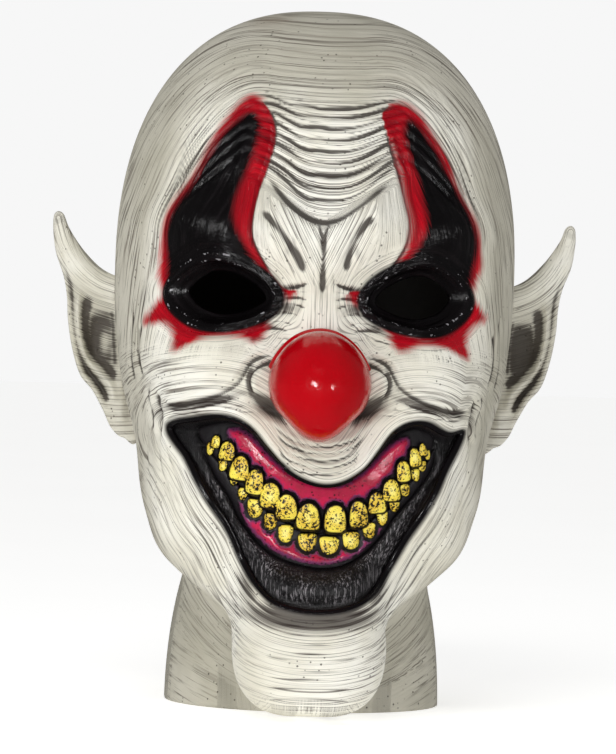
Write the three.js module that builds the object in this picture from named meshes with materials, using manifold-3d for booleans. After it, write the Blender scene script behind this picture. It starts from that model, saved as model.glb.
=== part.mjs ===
// A full-head clown mask of cast latex, standing on its neck rim.
// Millimetres, +Z up, the face looks along -Y and +X is on the viewer's right.
// Shapes are drawn in the head's own frame, whose origin lies between the ears.
import * as THREE from 'three';
import { mergeVertices } from 'three/addons/utils/BufferGeometryUtils.js';
import Module from 'manifold-3d';

const wasm = await Module();
wasm.setup();

// Driving dimensions.
const LATEX = 2.4;             // wall of the skin
const GAP = 0.3;               // clearance between glued pieces
const NECK_RIM = -135;         // height of the flat neck rim
const PARTING = 25;            // plane where the front and rear halves meet
const ORIGIN_SHIFT = [0, 22.5, -NECK_RIM];
const FAR = 260;               // a length that reaches past the whole head

// The head is a soft union of rounded lumps. "power" squares a lump up: 2 is an ellipsoid.
const LUMPS = [
  { at: [0, 0, 42], half: [82, 104, 108], power: 2.35, blend: 0 },       // cranium
  { at: [0, -30, -25], half: [71, 80, 75], power: 2.2, blend: 16 },      // face and jaw
  { at: [0, -70, -98], half: [30, 43, 35], power: 2.8, blend: 16 },      // chin
  { at: [0, 20, -140], half: [57, 60, 110], power: 2.2, blend: 16 },     // neck
];
const FEATURES = [
  { at: [0, -70, 58], half: [62, 37, 17], power: 2.2, blend: 14 },       // brow
  { at: [44, -84, 3], half: [20, 20, 15], power: 2, blend: 8 },          // cheeks
  { at: [-44, -84, 3], half: [20, 20, 15], power: 2, blend: 8 },
  { at: [20, -104, -4], half: [8, 12, 8], power: 2, blend: 5 },          // nose wings
  { at: [-20, -104, -4], half: [8, 12, 8], power: 2, blend: 5 },
];

// Rings of points round the head: fine over the face and coarse over the back, in degrees.
const FACE_HALF_ANGLE = 78;
const FACE_STEP = 6;
const REAR_STEP = 10;
const ROWS = 30;

// Outlines as [x, z], drawn for the +X half and mirrored.
const MOUTH_TOP = [[0, -41], [9, -38.5], [17.5, -32], [24, -24], [29, -18.5], [36, -16.5], [46, -17.5]];
const MOUTH_CORNER = [57, -21];
const MOUTH_BOTTOM = [[50, -33.5], [42.5, -45.5], [36.5, -56.5], [30.5, -68], [23, -82], [13, -88], [0, -90]];
const EYE = [[21, 30], [28, 37], [40, 41.5], [50, 38.5], [55, 32], [50, 25.5], [39, 22.5], [28, 25]];
const UPPER_GUM = [[0, -41], [9, -38.5], [17.5, -32], [24, -24], [29, -18.5], [35, -17.5],
  [37, -24], [32, -31], [25.5, -38.5], [18, -44], [10, -47.5], [0, -48.5]];
const LOWER_GUM = [[0, -68.4], [10, -66.8], [17.5, -63], [23.5, -57.5], [27, -52.5],
  [30.5, -53], [27, -60.5], [19, -68], [10, -72.5], [0, -74]];
const EAR = [[66, 36], [80, 39], [87, 42], [95, 49.5], [101, 58], [105, 65], [108, 62], [106, 48],
  [102.5, 38.5], [100.5, 21], [98.5, 9.5], [95, -1.5], [89.5, -7], [85, -17.5], [81, -23], [66, -24]];

// Teeth of the +X half as [x, z, width, height].
const UPPER_TEETH = [[4.9, -54.5, 9.4, 12], [14, -52, 8.4, 11.5], [21.5, -47.5, 7.6, 10.5],
  [27.6, -42, 7.3, 10], [32.8, -35.8, 6.8, 9.5], [37, -29.8, 5.3, 8], [40.4, -25.6, 3.6, 4.6]];
const LOWER_TEETH = [[4, -65, 8.2, 7.6], [12, -62.8, 7.4, 7.5], [18.8, -58.4, 6.6, 7],
  [24.5, -53.2, 6, 6.2], [28.9, -47.9, 5.2, 6], [32.8, -42.7, 4.8, 5.6], [36.6, -37.7, 4.6, 5.2],
  [40, -33, 4.4, 4.6]];

// Depths below the skin's outer face.
const TOOTH_DEPTH = 5.5;
const TOOTH_HALF_DEPTH = 3.6;
const TOOTH_ROOT = 0.6;        // half width at the gum, over the visible width
const TOOTH_TIP = 0.5;
const GUM_FRONT = 5;
const LINING_FRONT = 16;
const LINING_BACK = 18;

// Points around each rounded outline.
const MOUTH_POINTS = 52;
const GUM_POINTS = 44;
const EYE_POINTS = 20;

// How far past the mouth's outline the lining and the gums reach.
const LINING_OUTSIDE = 4;
const LINING_INSIDE = 1.8;
const GUM_OVERLAP = 1.5;
const STRIP_HALF_HEIGHT = 1.3; // of the strip that a row of teeth is cast on
const STRIP_RISE = 0.15;       // the strip's place above a tooth's middle, over its height

// Planes that cutters and drawn pieces stop at, behind the face.
const CUTTER_BACK = -50;
const MOUTH_BACK = -40;

const NOSE = { at: [0, -120, -3], half: [19, 27, 20.5] };
const EAR_DEPTH = 7;           // between the bevels of an ear
const EAR_BEVEL = 2;
const EAR_BACK = 6;
const EAR_BOWL = { at: [90, -6, 10], half: [8, 8, 21] };

// Corners of the regions that each lining piece covers, and its thickness.
const FOREHEAD_PAD = { low: [-42, -FAR, 78], high: [42, -20, 106], thickness: 5 };
const LEFT_TEMPLE_PAD = { low: [-FAR, -48, 46], high: [-40, -6, 80], thickness: 5 };
const RIGHT_TEMPLE_PAD = { low: [40, -48, 46], high: [FAR, -6, 80], thickness: 5 };

// The slit up the nape and the flaps beside it.
const SLIT_TOP = -45;
const SLIT_HALF_WIDTH = 2.5;
const RELIEF_RADIUS = 5;
const FLAP_WIDTH = 32;
const FLAP_GAP = 0.5;
const SLIT_PATCH = { low: [-14, PARTING, SLIT_TOP + 1], high: [14, FAR, SLIT_TOP + 19], thickness: 1 };
const CARE_LABEL = { low: [20, PARTING + 3, -122], high: [FAR, PARTING + 18, -98], thickness: 0.8 };

const STEP = 0.2;              // either side of a point, to measure the surface's slope

const mirrored = (points) => points.map(([x, z]) => [-x, z]);

function lumpDistance(lump, x, y, z) {
  const [dx, dy, dz] = [x - lump.at[0], y - lump.at[1], z - lump.at[2]];
  const sum = Math.abs(dx / lump.half[0]) ** lump.power
    + Math.abs(dy / lump.half[1]) ** lump.power
    + Math.abs(dz / lump.half[2]) ** lump.power;
  const spread = sum ** (1 / lump.power);
  return Math.hypot(dx, dy, dz) * (1 - 1 / Math.max(spread, 1e-6));
}

function smoothMin(a, b, blend) {
  const overlap = Math.max(blend - Math.abs(a - b), 0) / Math.max(blend, 1e-6);
  return Math.min(a, b) - overlap * overlap * blend / 4;
}

function headDistance(x, y, z, lumps) {
  return lumps.reduce((near, lump) => smoothMin(near, lumpDistance(lump, x, y, z), lump.blend), FAR);
}

// The point where a ray from the head's middle leaves it, moved in along the surface normal.
function surfacePoint(ray, inset, lumps) {
  let [near, out] = [20, FAR];
  for (let i = 0; i < 40; i += 1) {
    const middle = (near + out) / 2;
    const distance = headDistance(ray.x * middle, ray.y * middle, ray.z * middle, lumps);
    if (distance < 0) near = middle;
    else out = middle;
  }
  const point = ray.clone().multiplyScalar(near);
  const { x, y, z } = point;
  const slope = (dx, dy, dz) => headDistance(x + dx, y + dy, z + dz, lumps)
    - headDistance(x - dx, y - dy, z - dz, lumps);
  const normal = new THREE.Vector3(slope(STEP, 0, 0), slope(0, STEP, 0), slope(0, 0, STEP));
  return point.addScaledVector(normal.normalize(), -inset);
}

function turnAngles() {
  const angles = [];
  for (let a = -FACE_HALF_ANGLE; a < FACE_HALF_ANGLE; a += FACE_STEP) angles.push(a);
  const rear = 360 - 2 * FACE_HALF_ANGLE;
  const steps = Math.round(rear / REAR_STEP);
  for (let i = 0; i < steps; i += 1) angles.push(FACE_HALF_ANGLE + rear * i / steps);
  return angles.map((a) => THREE.MathUtils.degToRad(a));
}

// A closed skin around the head: rings of points between two poles.
function headGeometry(inset, lumps) {
  const turns = turnAngles();
  const positions = [];
  const addPoint = (polar, turn) => {
    const level = Math.sin(polar);
    const ray = new THREE.Vector3(level * Math.sin(turn), -level * Math.cos(turn), Math.cos(polar));
    positions.push(...surfacePoint(ray, inset, lumps).toArray());
  };
  addPoint(0, 0);
  for (let row = 1; row < ROWS; row += 1) turns.forEach((turn) => addPoint(Math.PI * row / ROWS, turn));
  addPoint(Math.PI, 0);

  const count = turns.length;
  const last = positions.length / 3 - 1;
  const at = (row, column) => 1 + (row - 1) * count + column % count;
  const faces = [];
  for (let c = 0; c < count; c += 1) {
    faces.push(0, at(1, c), at(1, c + 1));
    faces.push(last, at(ROWS - 1, c + 1), at(ROWS - 1, c));
    for (let row = 1; row < ROWS - 1; row += 1) {
      const corners = [at(row, c), at(row + 1, c), at(row + 1, c + 1), at(row, c + 1)];
      faces.push(corners[0], corners[1], corners[2], corners[0], corners[2], corners[3]);
    }
  }
  const geometry = new THREE.BufferGeometry();
  geometry.setAttribute('position', new THREE.Float32BufferAttribute(positions, 3));
  geometry.setIndex(faces);
  return geometry;
}

function toSolid(geometry) {
  geometry.deleteAttribute('normal');
  geometry.deleteAttribute('uv');
  const merged = mergeVertices(geometry, 1e-4);
  return new wasm.Manifold(new wasm.Mesh({
    numProp: 3,
    vertProperties: new Float32Array(merged.attributes.position.array),
    triVerts: new Uint32Array(merged.index.array),
  }));
}

function toGeometry(solid) {
  const mesh = solid.getMesh();
  const geometry = new THREE.BufferGeometry();
  geometry.setAttribute('position', new THREE.Float32BufferAttribute(mesh.vertProperties, 3));
  geometry.setIndex(Array.from(mesh.triVerts));
  return geometry;
}

const headCache = new Map();
function head(inset, lumps = LUMPS) {
  const key = `${inset}/${lumps.length}`;
  if (!headCache.has(key)) headCache.set(key, toSolid(headGeometry(inset, lumps)));
  return headCache.get(key);
}

// An outline in the XZ plane, extruded along Y.
function prism(points, front, back) {
  const shape = new THREE.Shape(points.map(([x, z]) => new THREE.Vector2(x, z)));
  const geometry = new THREE.ExtrudeGeometry(shape, { depth: back - front, bevelEnabled: false, steps: 1 });
  geometry.rotateX(Math.PI / 2);
  geometry.translate(0, back, 0);
  return toSolid(geometry);
}

// A box given by its low and high corners.
function block(low, high) {
  const size = high.map((value, i) => value - low[i]);
  const geometry = new THREE.BoxGeometry(...size);
  geometry.translate(...low.map((value, i) => value + size[i] / 2));
  return toSolid(geometry);
}

function ellipsoid(at, half, around, down) {
  const geometry = new THREE.SphereGeometry(1, around, down);
  geometry.scale(...half);
  geometry.translate(...at);
  return toSolid(geometry);
}

// A closed outline rounded through its points.
function rounded(points, samples) {
  const vectors = points.map(([x, z]) => new THREE.Vector3(x, z, 0));
  const curve = new THREE.CatmullRomCurve3(vectors, true, 'centripetal');
  return curve.getPoints(samples).slice(0, -1).map((p) => [p.x, p.y]);
}

// An outline moved outwards by an even amount; the outline runs anticlockwise or clockwise.
function grown(points, amount) {
  const vectors = points.map(([x, z]) => new THREE.Vector2(x, z));
  const sense = THREE.ShapeUtils.isClockWise(vectors) ? -1 : 1;
  return vectors.map((here, i) => {
    const before = vectors[(i + vectors.length - 1) % vectors.length];
    const after = vectors[(i + 1) % vectors.length];
    const along = after.clone().sub(before).normalize();
    return [here.x + sense * along.y * amount, here.y - sense * along.x * amount];
  });
}

// Both halves of an outline that starts and ends on the middle line.
function bothHalves(half) {
  return [...half, ...mirrored(half.slice(1, -1)).reverse()];
}

function union(solids) {
  return solids.reduce((whole, solid) => whole.add(solid));
}

// How far forward the face reaches at a point of the front view.
function faceDepth(x, z) {
  let [inside, outside] = [-30, -FAR];
  for (let i = 0; i < 40; i += 1) {
    const middle = (inside + outside) / 2;
    if (headDistance(x, middle, z, LUMPS) < 0) inside = middle;
    else outside = middle;
  }
  return inside;
}

const mouthOutline = rounded(bothHalves([...MOUTH_TOP, MOUTH_CORNER, ...MOUTH_BOTTOM]), MOUTH_POINTS);

// The whole hollow skin, cut level at the neck.
function skinShell() {
  const above = block([-FAR, -FAR, NECK_RIM], [FAR, FAR, FAR]);
  return head(0, [...LUMPS, ...FEATURES]).subtract(head(LATEX)).intersect(above);
}

function faceSkin(shell) {
  const front = block([-FAR, -FAR, -FAR], [FAR, PARTING - GAP / 2, FAR]);
  const mouth = prism(mouthOutline, -FAR, CUTTER_BACK);
  const eyes = [EYE, mirrored(EYE)].map((points) => prism(rounded(points, EYE_POINTS), -FAR, CUTTER_BACK));
  return shell.intersect(front).subtract(mouth).subtract(eyes[0]).subtract(eyes[1]);
}

// The wedge of the nape between the slit and one flap's bending line.
function flapWedge(side, growth) {
  const slope = FLAP_WIDTH / (SLIT_TOP - NECK_RIM);
  const below = 20;
  const reach = FLAP_WIDTH + slope * below + growth;
  const points = [[0, SLIT_TOP + growth / slope], [side * reach, NECK_RIM - below], [0, NECK_RIM - below]];
  return prism(points, PARTING + 5, FAR);
}

function reliefHole() {
  const geometry = new THREE.CylinderGeometry(RELIEF_RADIUS, RELIEF_RADIUS, FAR, 16);
  geometry.translate(0, FAR / 2 + PARTING, SLIT_TOP - RELIEF_RADIUS);
  return toSolid(geometry);
}

function rear(shell) {
  return shell.intersect(block([-FAR, PARTING + GAP / 2, -FAR], [FAR, FAR, FAR]));
}

function backSkin(shell) {
  const wedges = flapWedge(1, FLAP_GAP).add(flapWedge(-1, FLAP_GAP));
  return rear(shell).subtract(wedges).subtract(reliefHole());
}

function backFlap(shell, side) {
  const slit = block([-SLIT_HALF_WIDTH, PARTING, -FAR], [SLIT_HALF_WIDTH, FAR, FAR]);
  return rear(shell).intersect(flapWedge(side, 0)).subtract(slit).subtract(reliefHole());
}

function ear(side) {
  const points = side > 0 ? EAR : mirrored(EAR);
  const geometry = new THREE.ExtrudeGeometry(
    new THREE.Shape(points.map(([x, z]) => new THREE.Vector2(x, z))),
    { depth: EAR_DEPTH, bevelThickness: EAR_BEVEL, bevelSize: 1.5, bevelOffset: -1.5, bevelSegments: 1 },
  );
  geometry.rotateX(Math.PI / 2);
  geometry.translate(0, EAR_BACK, 0);
  const [bowlX, ...bowlPlace] = EAR_BOWL.at;
  const bowl = ellipsoid([side * bowlX, ...bowlPlace], EAR_BOWL.half, 12, 8);
  return toSolid(geometry).subtract(bowl).subtract(head(-GAP));
}

function redNose() {
  const skin = head(-GAP, [...LUMPS, ...FEATURES]);
  return ellipsoid(NOSE.at, NOSE.half, 24, 16).subtract(skin);
}

// A dish that follows the face at a depth, with a wall round the mouth.
function mouthLining() {
  const outside = prism(grown(mouthOutline, LINING_OUTSIDE), -FAR, MOUTH_BACK);
  const inside = prism(grown(mouthOutline, LINING_INSIDE), -FAR, MOUTH_BACK);
  const hollow = inside.subtract(head(LINING_FRONT));
  return outside.intersect(head(LATEX + GAP)).subtract(head(LINING_BACK)).subtract(hollow);
}

// A curved band between two depths. growth makes it larger all round, to cut its neighbours clear.
function gum(half, growth) {
  const outline = grown(rounded(bothHalves(half), GUM_POINTS), growth);
  const depth = head(GUM_FRONT - growth).subtract(head(LINING_FRONT - GAP + growth));
  const opening = prism(grown(mouthOutline, GUM_OVERLAP + growth), -FAR, MOUTH_BACK);
  return prism(outline, -FAR, MOUTH_BACK).intersect(depth).intersect(opening);
}

// One tooth: a stubby peg that narrows away from its gum. "up" is 1 when the gum is above it.
function tooth([x, z, width, height], up, growth) {
  const root = width * TOOTH_ROOT + growth;
  const tip = width * TOOTH_TIP + growth;
  const [above, below] = up > 0 ? [root, tip] : [tip, root];
  const geometry = new THREE.CylinderGeometry(above, below, height + 2 * growth, 8);
  geometry.rotateX(Math.PI / 2);
  geometry.scale(1, (TOOTH_HALF_DEPTH + growth) / root, 1);
  geometry.translate(x, faceDepth(x, z) + TOOTH_DEPTH, z);
  return toSolid(geometry);
}

function pegs(half, up, growth) {
  const all = [...half, ...half.map(([x, ...rest]) => [-x, ...rest])];
  return union(all.map((measures) => tooth(measures, up, growth)));
}

// The strip behind a row, that its teeth are cast on.
function toothStrip(half, up) {
  const line = half.map(([x, z, , height]) => [x, z + Math.max(up, 0) * height * STRIP_RISE]);
  const pastMiddle = [-2, line[0][1]];
  const edge = (offset) => [pastMiddle, ...line].map(([x, z]) => [x, z + offset]);
  const outline = [...edge(-STRIP_HALF_HEIGHT), ...edge(STRIP_HALF_HEIGHT).reverse()];
  const bands = [outline, mirrored(outline)].map((points) => prism(points, -FAR, MOUTH_BACK));
  return union(bands).intersect(head(TOOTH_DEPTH + 2).subtract(head(TOOTH_DEPTH + 5)));
}

// A row of teeth, cut clear of the gums.
function clearOfGums(row) {
  return row.subtract(gum(UPPER_GUM, GAP)).subtract(gum(LOWER_GUM, GAP));
}

function upperTeeth() {
  return clearOfGums(pegs(UPPER_TEETH, 1, 0).add(toothStrip(UPPER_TEETH, 1)));
}

function lowerTeeth() {
  const row = pegs(LOWER_TEETH, -1, 0).subtract(pegs(UPPER_TEETH, 1, GAP));
  return clearOfGums(row.add(toothStrip(LOWER_TEETH, -1)));
}

// A piece that lies against the inside of the skin over one region.
function liner({ low, high, thickness }) {
  return head(LATEX + GAP).subtract(head(LATEX + GAP + thickness)).intersect(block(low, high));
}

function material(color, roughness) {
  return new THREE.MeshStandardMaterial({ color, roughness, metalness: 0 });
}

const paintedLatex = material(0xd8d3c2, 0.55);
const plainLatex = material(0xb9b5a7, 0.6);
const redGloss = material(0xa80012, 0.12);
const blackLatex = material(0x161214, 0.4);
const pinkGloss = material(0xa02850, 0.2);
const toothYellow = material(0xd8bd4a, 0.35);
const foam = material(0x3c3c3f, 0.95);
const cloth = material(0x8f8a7c, 0.9);
const labelWhite = material(0xe6e4dc, 0.8);

const mask = new THREE.Group();
mask.position.set(...ORIGIN_SHIFT);

function add(name, solid, look) {
  const mesh = new THREE.Mesh(toGeometry(solid), look);
  mesh.name = name;
  mask.add(mesh);
}

const shell = skinShell();
add('face_skin', faceSkin(shell), paintedLatex);
add('back_skin', backSkin(shell), plainLatex);
add('left_back_flap', backFlap(shell, -1), plainLatex);
add('right_back_flap', backFlap(shell, 1), plainLatex);
add('left_ear', ear(-1), paintedLatex);
add('right_ear', ear(1), paintedLatex);
add('red_nose', redNose(), redGloss);
add('mouth_lining', mouthLining(), blackLatex);
add('upper_gum', gum(UPPER_GUM, 0), pinkGloss);
add('lower_gum', gum(LOWER_GUM, 0), pinkGloss);
add('upper_teeth', upperTeeth(), toothYellow);
add('lower_teeth', lowerTeeth(), toothYellow);
add('forehead_pad', liner(FOREHEAD_PAD), foam);
add('left_temple_pad', liner(LEFT_TEMPLE_PAD), foam);
add('right_temple_pad', liner(RIGHT_TEMPLE_PAD), foam);
add('slit_patch', liner(SLIT_PATCH), cloth);
add('care_label', liner(CARE_LABEL), labelWhite);

const scene = new THREE.Group();
scene.add(mask);

export default scene;
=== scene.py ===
"""A full-head clown mask of cast latex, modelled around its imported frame.

Shapes are worked out in millimetres in the head's own frame: the origin lies between the ears, the face looks
along -Y and +Z is up. HEAD_TO_ROW moves them into the row frame, whose floor is the neck rim.
"""
import math

import bmesh
import bpy
import numpy as np
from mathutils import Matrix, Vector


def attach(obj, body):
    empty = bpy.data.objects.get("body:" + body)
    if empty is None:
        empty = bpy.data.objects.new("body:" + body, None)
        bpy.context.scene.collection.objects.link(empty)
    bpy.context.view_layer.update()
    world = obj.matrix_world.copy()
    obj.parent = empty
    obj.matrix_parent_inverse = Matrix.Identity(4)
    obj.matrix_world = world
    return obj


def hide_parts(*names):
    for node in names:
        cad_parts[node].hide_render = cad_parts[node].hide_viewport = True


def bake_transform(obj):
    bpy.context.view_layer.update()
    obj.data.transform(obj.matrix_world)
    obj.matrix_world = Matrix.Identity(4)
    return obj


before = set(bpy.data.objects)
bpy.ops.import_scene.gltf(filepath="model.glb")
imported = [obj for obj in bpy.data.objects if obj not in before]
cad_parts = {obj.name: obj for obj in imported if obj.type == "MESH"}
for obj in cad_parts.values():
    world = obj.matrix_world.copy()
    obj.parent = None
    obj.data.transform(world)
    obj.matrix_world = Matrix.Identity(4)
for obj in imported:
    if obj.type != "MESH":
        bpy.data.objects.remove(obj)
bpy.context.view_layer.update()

MM = 0.001
HEAD_TO_ROW = np.array([0.0, 22.5, 135.0])
LATEX = 2.4
PARTING = 25.0
NECK_RIM = -135.0
RAY_CENTRE = np.array([0.0, PARTING, 0.0])
RAY_NEAR, RAY_FAR = 10.0, 320.0   # where the skin is looked for along a ray from RAY_CENTRE
SHEET_START = -20.0            # depth from which the front view's points are sent forwards, and how far
SHEET_REACH = 160.0
FAR = 40.0                     # stands for any larger distance in the paint's fields
NEAR_TEETH = 12.0              # the same for the distances round the gums

# ---------------------------------------------------------------- camera, light and floor
EYE_DEPTH = -80.0
CAMERA_DISTANCE = 1500.0
VIEW_HEIGHT = 295.6            # millimetres that the picture spans at the eyes
HEAD_TURN = math.radians(1.6)
HEAD_ROLL = math.radians(1.6)
AIM = np.array([-3.5, EYE_DEPTH, 0.0])


def row_point(point):
    return [c * MM for c in np.asarray(point, float) + HEAD_TO_ROW]


def add_camera():
    data = bpy.data.cameras.new("camera")
    data.sensor_width = 36.0
    data.lens = 18.0 * 2 * CAMERA_DISTANCE / VIEW_HEIGHT
    camera = bpy.data.objects.new("camera", data)
    bpy.context.scene.collection.objects.link(camera)
    away = np.array([-math.sin(HEAD_TURN), -math.cos(HEAD_TURN), 0.0]) * CAMERA_DISTANCE
    camera.location = row_point(AIM + away)
    camera.rotation_mode = "XYZ"
    camera.rotation_euler = (math.pi / 2, 0.0, -HEAD_TURN)
    roll = camera.rotation_euler.to_matrix() @ Matrix.Rotation(HEAD_ROLL, 3, "Z")
    camera.rotation_euler = roll.to_euler()
    bpy.context.scene.camera = camera


def add_light(name, azimuth, elevation, distance, width, height, power, glossy=True, diffuse=True):
    """A soft box round the head's middle. Azimuth is from straight ahead towards the viewer's right."""
    data = bpy.data.lights.new(name, "AREA")
    data.shape = "RECTANGLE"
    data.size, data.size_y = width, height
    data.energy = power
    light = bpy.data.objects.new(name, data)
    bpy.context.scene.collection.objects.link(light)
    turn, lift = math.radians(azimuth), math.radians(elevation)
    middle = Vector((0, 0, 0.15))
    away = Vector((math.sin(turn) * math.cos(lift), -math.cos(turn) * math.cos(lift), math.sin(lift)))
    light.location = middle + away * distance
    light.rotation_euler = (-away).to_track_quat("-Z", "Y").to_euler()
    light.visible_glossy = glossy
    light.visible_diffuse = diffuse


WORLD_LIGHT = 0.46
WORLD_GLOSS = 0.1              # how much of it shows in glossy surfaces
BACKGROUND = 0.93


def add_world():
    """Even light from all round, and a near-white background for the camera."""
    world = bpy.data.worlds.new("studio")
    world.use_nodes = True
    tree = world.node_tree
    lighting = tree.nodes["Background"]
    lighting.inputs["Color"].default_value = (1, 1, 1, 1)
    ray = tree.nodes.new("ShaderNodeLightPath")
    strength = tree.nodes.new("ShaderNodeMath")
    strength.operation = "MULTIPLY_ADD"
    tree.links.new(ray.outputs["Is Glossy Ray"], strength.inputs[0])
    strength.inputs[1].default_value = WORLD_GLOSS - WORLD_LIGHT
    strength.inputs[2].default_value = WORLD_LIGHT
    tree.links.new(strength.outputs[0], lighting.inputs["Strength"])
    backdrop = tree.nodes.new("ShaderNodeBackground")
    backdrop.inputs["Color"].default_value = (1, 1, 1, 1)
    backdrop.inputs["Strength"].default_value = BACKGROUND
    choose = tree.nodes.new("ShaderNodeMixShader")
    tree.links.new(ray.outputs["Is Camera Ray"], choose.inputs[0])
    tree.links.new(lighting.outputs[0], choose.inputs[1])
    tree.links.new(backdrop.outputs[0], choose.inputs[2])
    tree.links.new(choose.outputs[0], tree.nodes["World Output"].inputs["Surface"])
    bpy.context.scene.world = world


def add_studio():
    add_world()
    add_light("key", -12, 38, 1.7, 0.7, 0.5, 8.5, glossy=False)
    add_light("fill", -25, -1, 1.2, 0.3, 0.3, 3.0, glossy=False)
    add_light("left_box", -26, -1, 1.2, 0.18, 0.22, 6.0, diffuse=False)
    add_light("right_strip", 38, -8, 1.2, 0.10, 0.32, 5.0, diffuse=False)
    bpy.context.scene.view_settings.view_transform = "Standard"
    bpy.ops.mesh.primitive_plane_add(size=80, location=(0, 0, 0))
    floor = bpy.context.active_object
    floor.name = "floor"
    floor.data.materials.append(plain_floor())
    floor.visible_glossy = False


# ---------------------------------------------------------------- material building
class Graph:
    """A small helper that adds shader nodes to one material."""

    def __init__(self, name):
        self.material = bpy.data.materials.new(name)
        self.material.use_nodes = True
        self.tree = self.material.node_tree
        self.shader = self.tree.nodes["Principled BSDF"]
        self.texture = self.node("ShaderNodeTexCoord").outputs["Object"]

    def node(self, kind, **settings):
        made = self.tree.nodes.new(kind)
        for key, value in settings.items():
            setattr(made, key, value)
        return made

    def link(self, socket, value):
        if isinstance(value, bpy.types.NodeSocket):
            self.tree.links.new(value, socket)
        elif value is not None:
            socket.default_value = value

    def attribute(self, name):
        return self.node("ShaderNodeAttribute", attribute_name=name).outputs["Fac"]

    def maths(self, operation, a, b=None, c=None, clamp=False):
        made = self.node("ShaderNodeMath", operation=operation, use_clamp=clamp)
        for socket, value in zip(made.inputs, (a, b, c)):
            self.link(socket, value)
        return made.outputs[0]

    def vector(self, operation, a, b, scale=None):
        made = self.node("ShaderNodeVectorMath", operation=operation)
        self.link(made.inputs[0], a)
        self.link(made.inputs[1], b)
        if scale is not None:
            self.link(made.inputs["Scale"], scale)
        return made.outputs[0]

    def combine(self, x, y, z):
        made = self.node("ShaderNodeCombineXYZ")
        for socket, value in zip(made.inputs, (x, y, z)):
            self.link(socket, value)
        return made.outputs[0]

    def noise(self, scale, detail=3.0, vector=None, roughness=0.55):
        made = self.node("ShaderNodeTexNoise")
        self.link(made.inputs["Vector"], self.texture if vector is None else vector)
        self.link(made.inputs["Scale"], scale)
        self.link(made.inputs["Detail"], detail)
        self.link(made.inputs["Roughness"], roughness)
        return made.outputs["Fac"]

    def cells(self, scale):
        made = self.node("ShaderNodeTexVoronoi")
        self.link(made.inputs["Vector"], self.texture)
        self.link(made.inputs["Scale"], scale)
        return made.outputs["Distance"]

    def spread(self, value, low, high, out_low=0.0, out_high=1.0):
        made = self.node("ShaderNodeMapRange", interpolation_type="SMOOTHSTEP")
        for key, number in (("From Min", low), ("From Max", high), ("To Min", out_low), ("To Max", out_high)):
            made.inputs[key].default_value = number
        self.link(made.inputs["Value"], value)
        return made.outputs["Result"]

    def mix(self, factor, a, b):
        made = self.node("ShaderNodeMix", data_type="RGBA")
        self.link(made.inputs["Factor"], factor)
        for key, value in (("A", a), ("B", b)):
            socket = [s for s in made.inputs if s.name == key and s.type == "RGBA"][0]
            self.link(socket, (*value, 1.0) if isinstance(value, tuple) else value)
        return [s for s in made.outputs if s.type == "RGBA"][0]

    def bump(self, height, distance, strength):
        made = self.node("ShaderNodeBump")
        made.inputs["Strength"].default_value = strength
        made.inputs["Distance"].default_value = distance
        self.link(made.inputs["Height"], height)
        return made.outputs["Normal"]

    def finish(self, colour, roughness, normal=None, **uniform):
        self.link(self.shader.inputs["Base Color"], colour)
        self.link(self.shader.inputs["Roughness"], roughness)
        self.link(self.shader.inputs["Normal"], normal)
        for key, value in uniform.items():
            self.shader.inputs[key.replace("_", " ")].default_value = value
        return self.material


def colour(red, green, blue):
    """A colour given as 0 to 255 screen values, in linear light."""
    shares = (red / 255, green / 255, blue / 255)
    return tuple(c / 12.92 if c < 0.04045 else ((c + 0.055) / 1.055) ** 2.4 for c in shares)


def plain_floor():
    g = Graph("pale_floor")
    shade = g.mix(g.noise(3.0, 2.0), colour(236, 236, 234), colour(242, 242, 240))
    g.shader.inputs["Emission Color"].default_value = (1, 1, 1, 1)
    return g.finish(shade, 0.9, Emission_Strength=0.55)


# ---------------------------------------------------------------- curves in the front view
def smooth_line(points, step=0.8, closed=False):
    """Points of a Catmull-Rom curve through the given ones, evenly spaced."""
    pts = np.asarray(points, float)
    before, after = 2 * pts[0] - pts[1], 2 * pts[-1] - pts[-2]
    ring = np.vstack([pts[-1], pts, pts[0], pts[1]] if closed else [before, pts, after])
    dense = []
    for a, b, c, d in zip(ring[:-3], ring[1:-2], ring[2:-1], ring[3:]):
        t = np.linspace(0, 1, 24, endpoint=False)[:, None]
        curve, twist = 2 * a - 5 * b + 4 * c - d, 3 * b - a - 3 * c + d
        dense.append(0.5 * (2 * b + (c - a) * t + curve * t**2 + twist * t**3))
    dense = np.vstack(dense + [pts[:1] if closed else pts[-1:]])
    length = np.concatenate([[0], np.cumsum(np.linalg.norm(np.diff(dense, axis=0), axis=1))])
    count = max(int(length[-1] / step), 4)
    at = np.linspace(0, length[-1], count + 1)
    even = np.column_stack([np.interp(at, length, dense[:, k]) for k in range(dense.shape[1])])
    return even[:-1] if closed else even


def line_distance(p, line, closed=False):
    """Distance from points to a line, and how far along it the nearest place lies, from 0 to 1."""
    ends = np.vstack([line, line[:1]]) if closed else line
    a, along = ends[:-1], np.diff(ends, axis=0)
    best = np.full(len(p), np.inf)
    where = np.zeros(len(p))
    for start in range(0, len(p), 20000):
        part = p[start:start + 20000]
        rel = part[:, None, :] - a[None]
        t = np.clip((rel * along).sum(2) / np.maximum((along**2).sum(1), 1e-9), 0, 1)
        d2 = ((rel - t[..., None] * along) ** 2).sum(2)
        k = d2.argmin(1)
        rows = np.arange(len(part))
        best[start:start + 20000] = np.sqrt(d2[rows, k])
        where[start:start + 20000] = (k + t[rows, k]) / len(a)
    return best, where


def inside(p, line):
    ends = np.vstack([line, line[:1]])
    hit = np.zeros(len(p), bool)
    for (x0, z0), (x1, z1) in zip(ends[:-1], ends[1:]):
        if z0 != z1:
            crosses = (p[:, 1] > z0) != (p[:, 1] > z1)
            hit ^= crosses & (p[:, 0] < x0 + (p[:, 1] - z0) / (z1 - z0) * (x1 - x0))
    return hit


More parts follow.
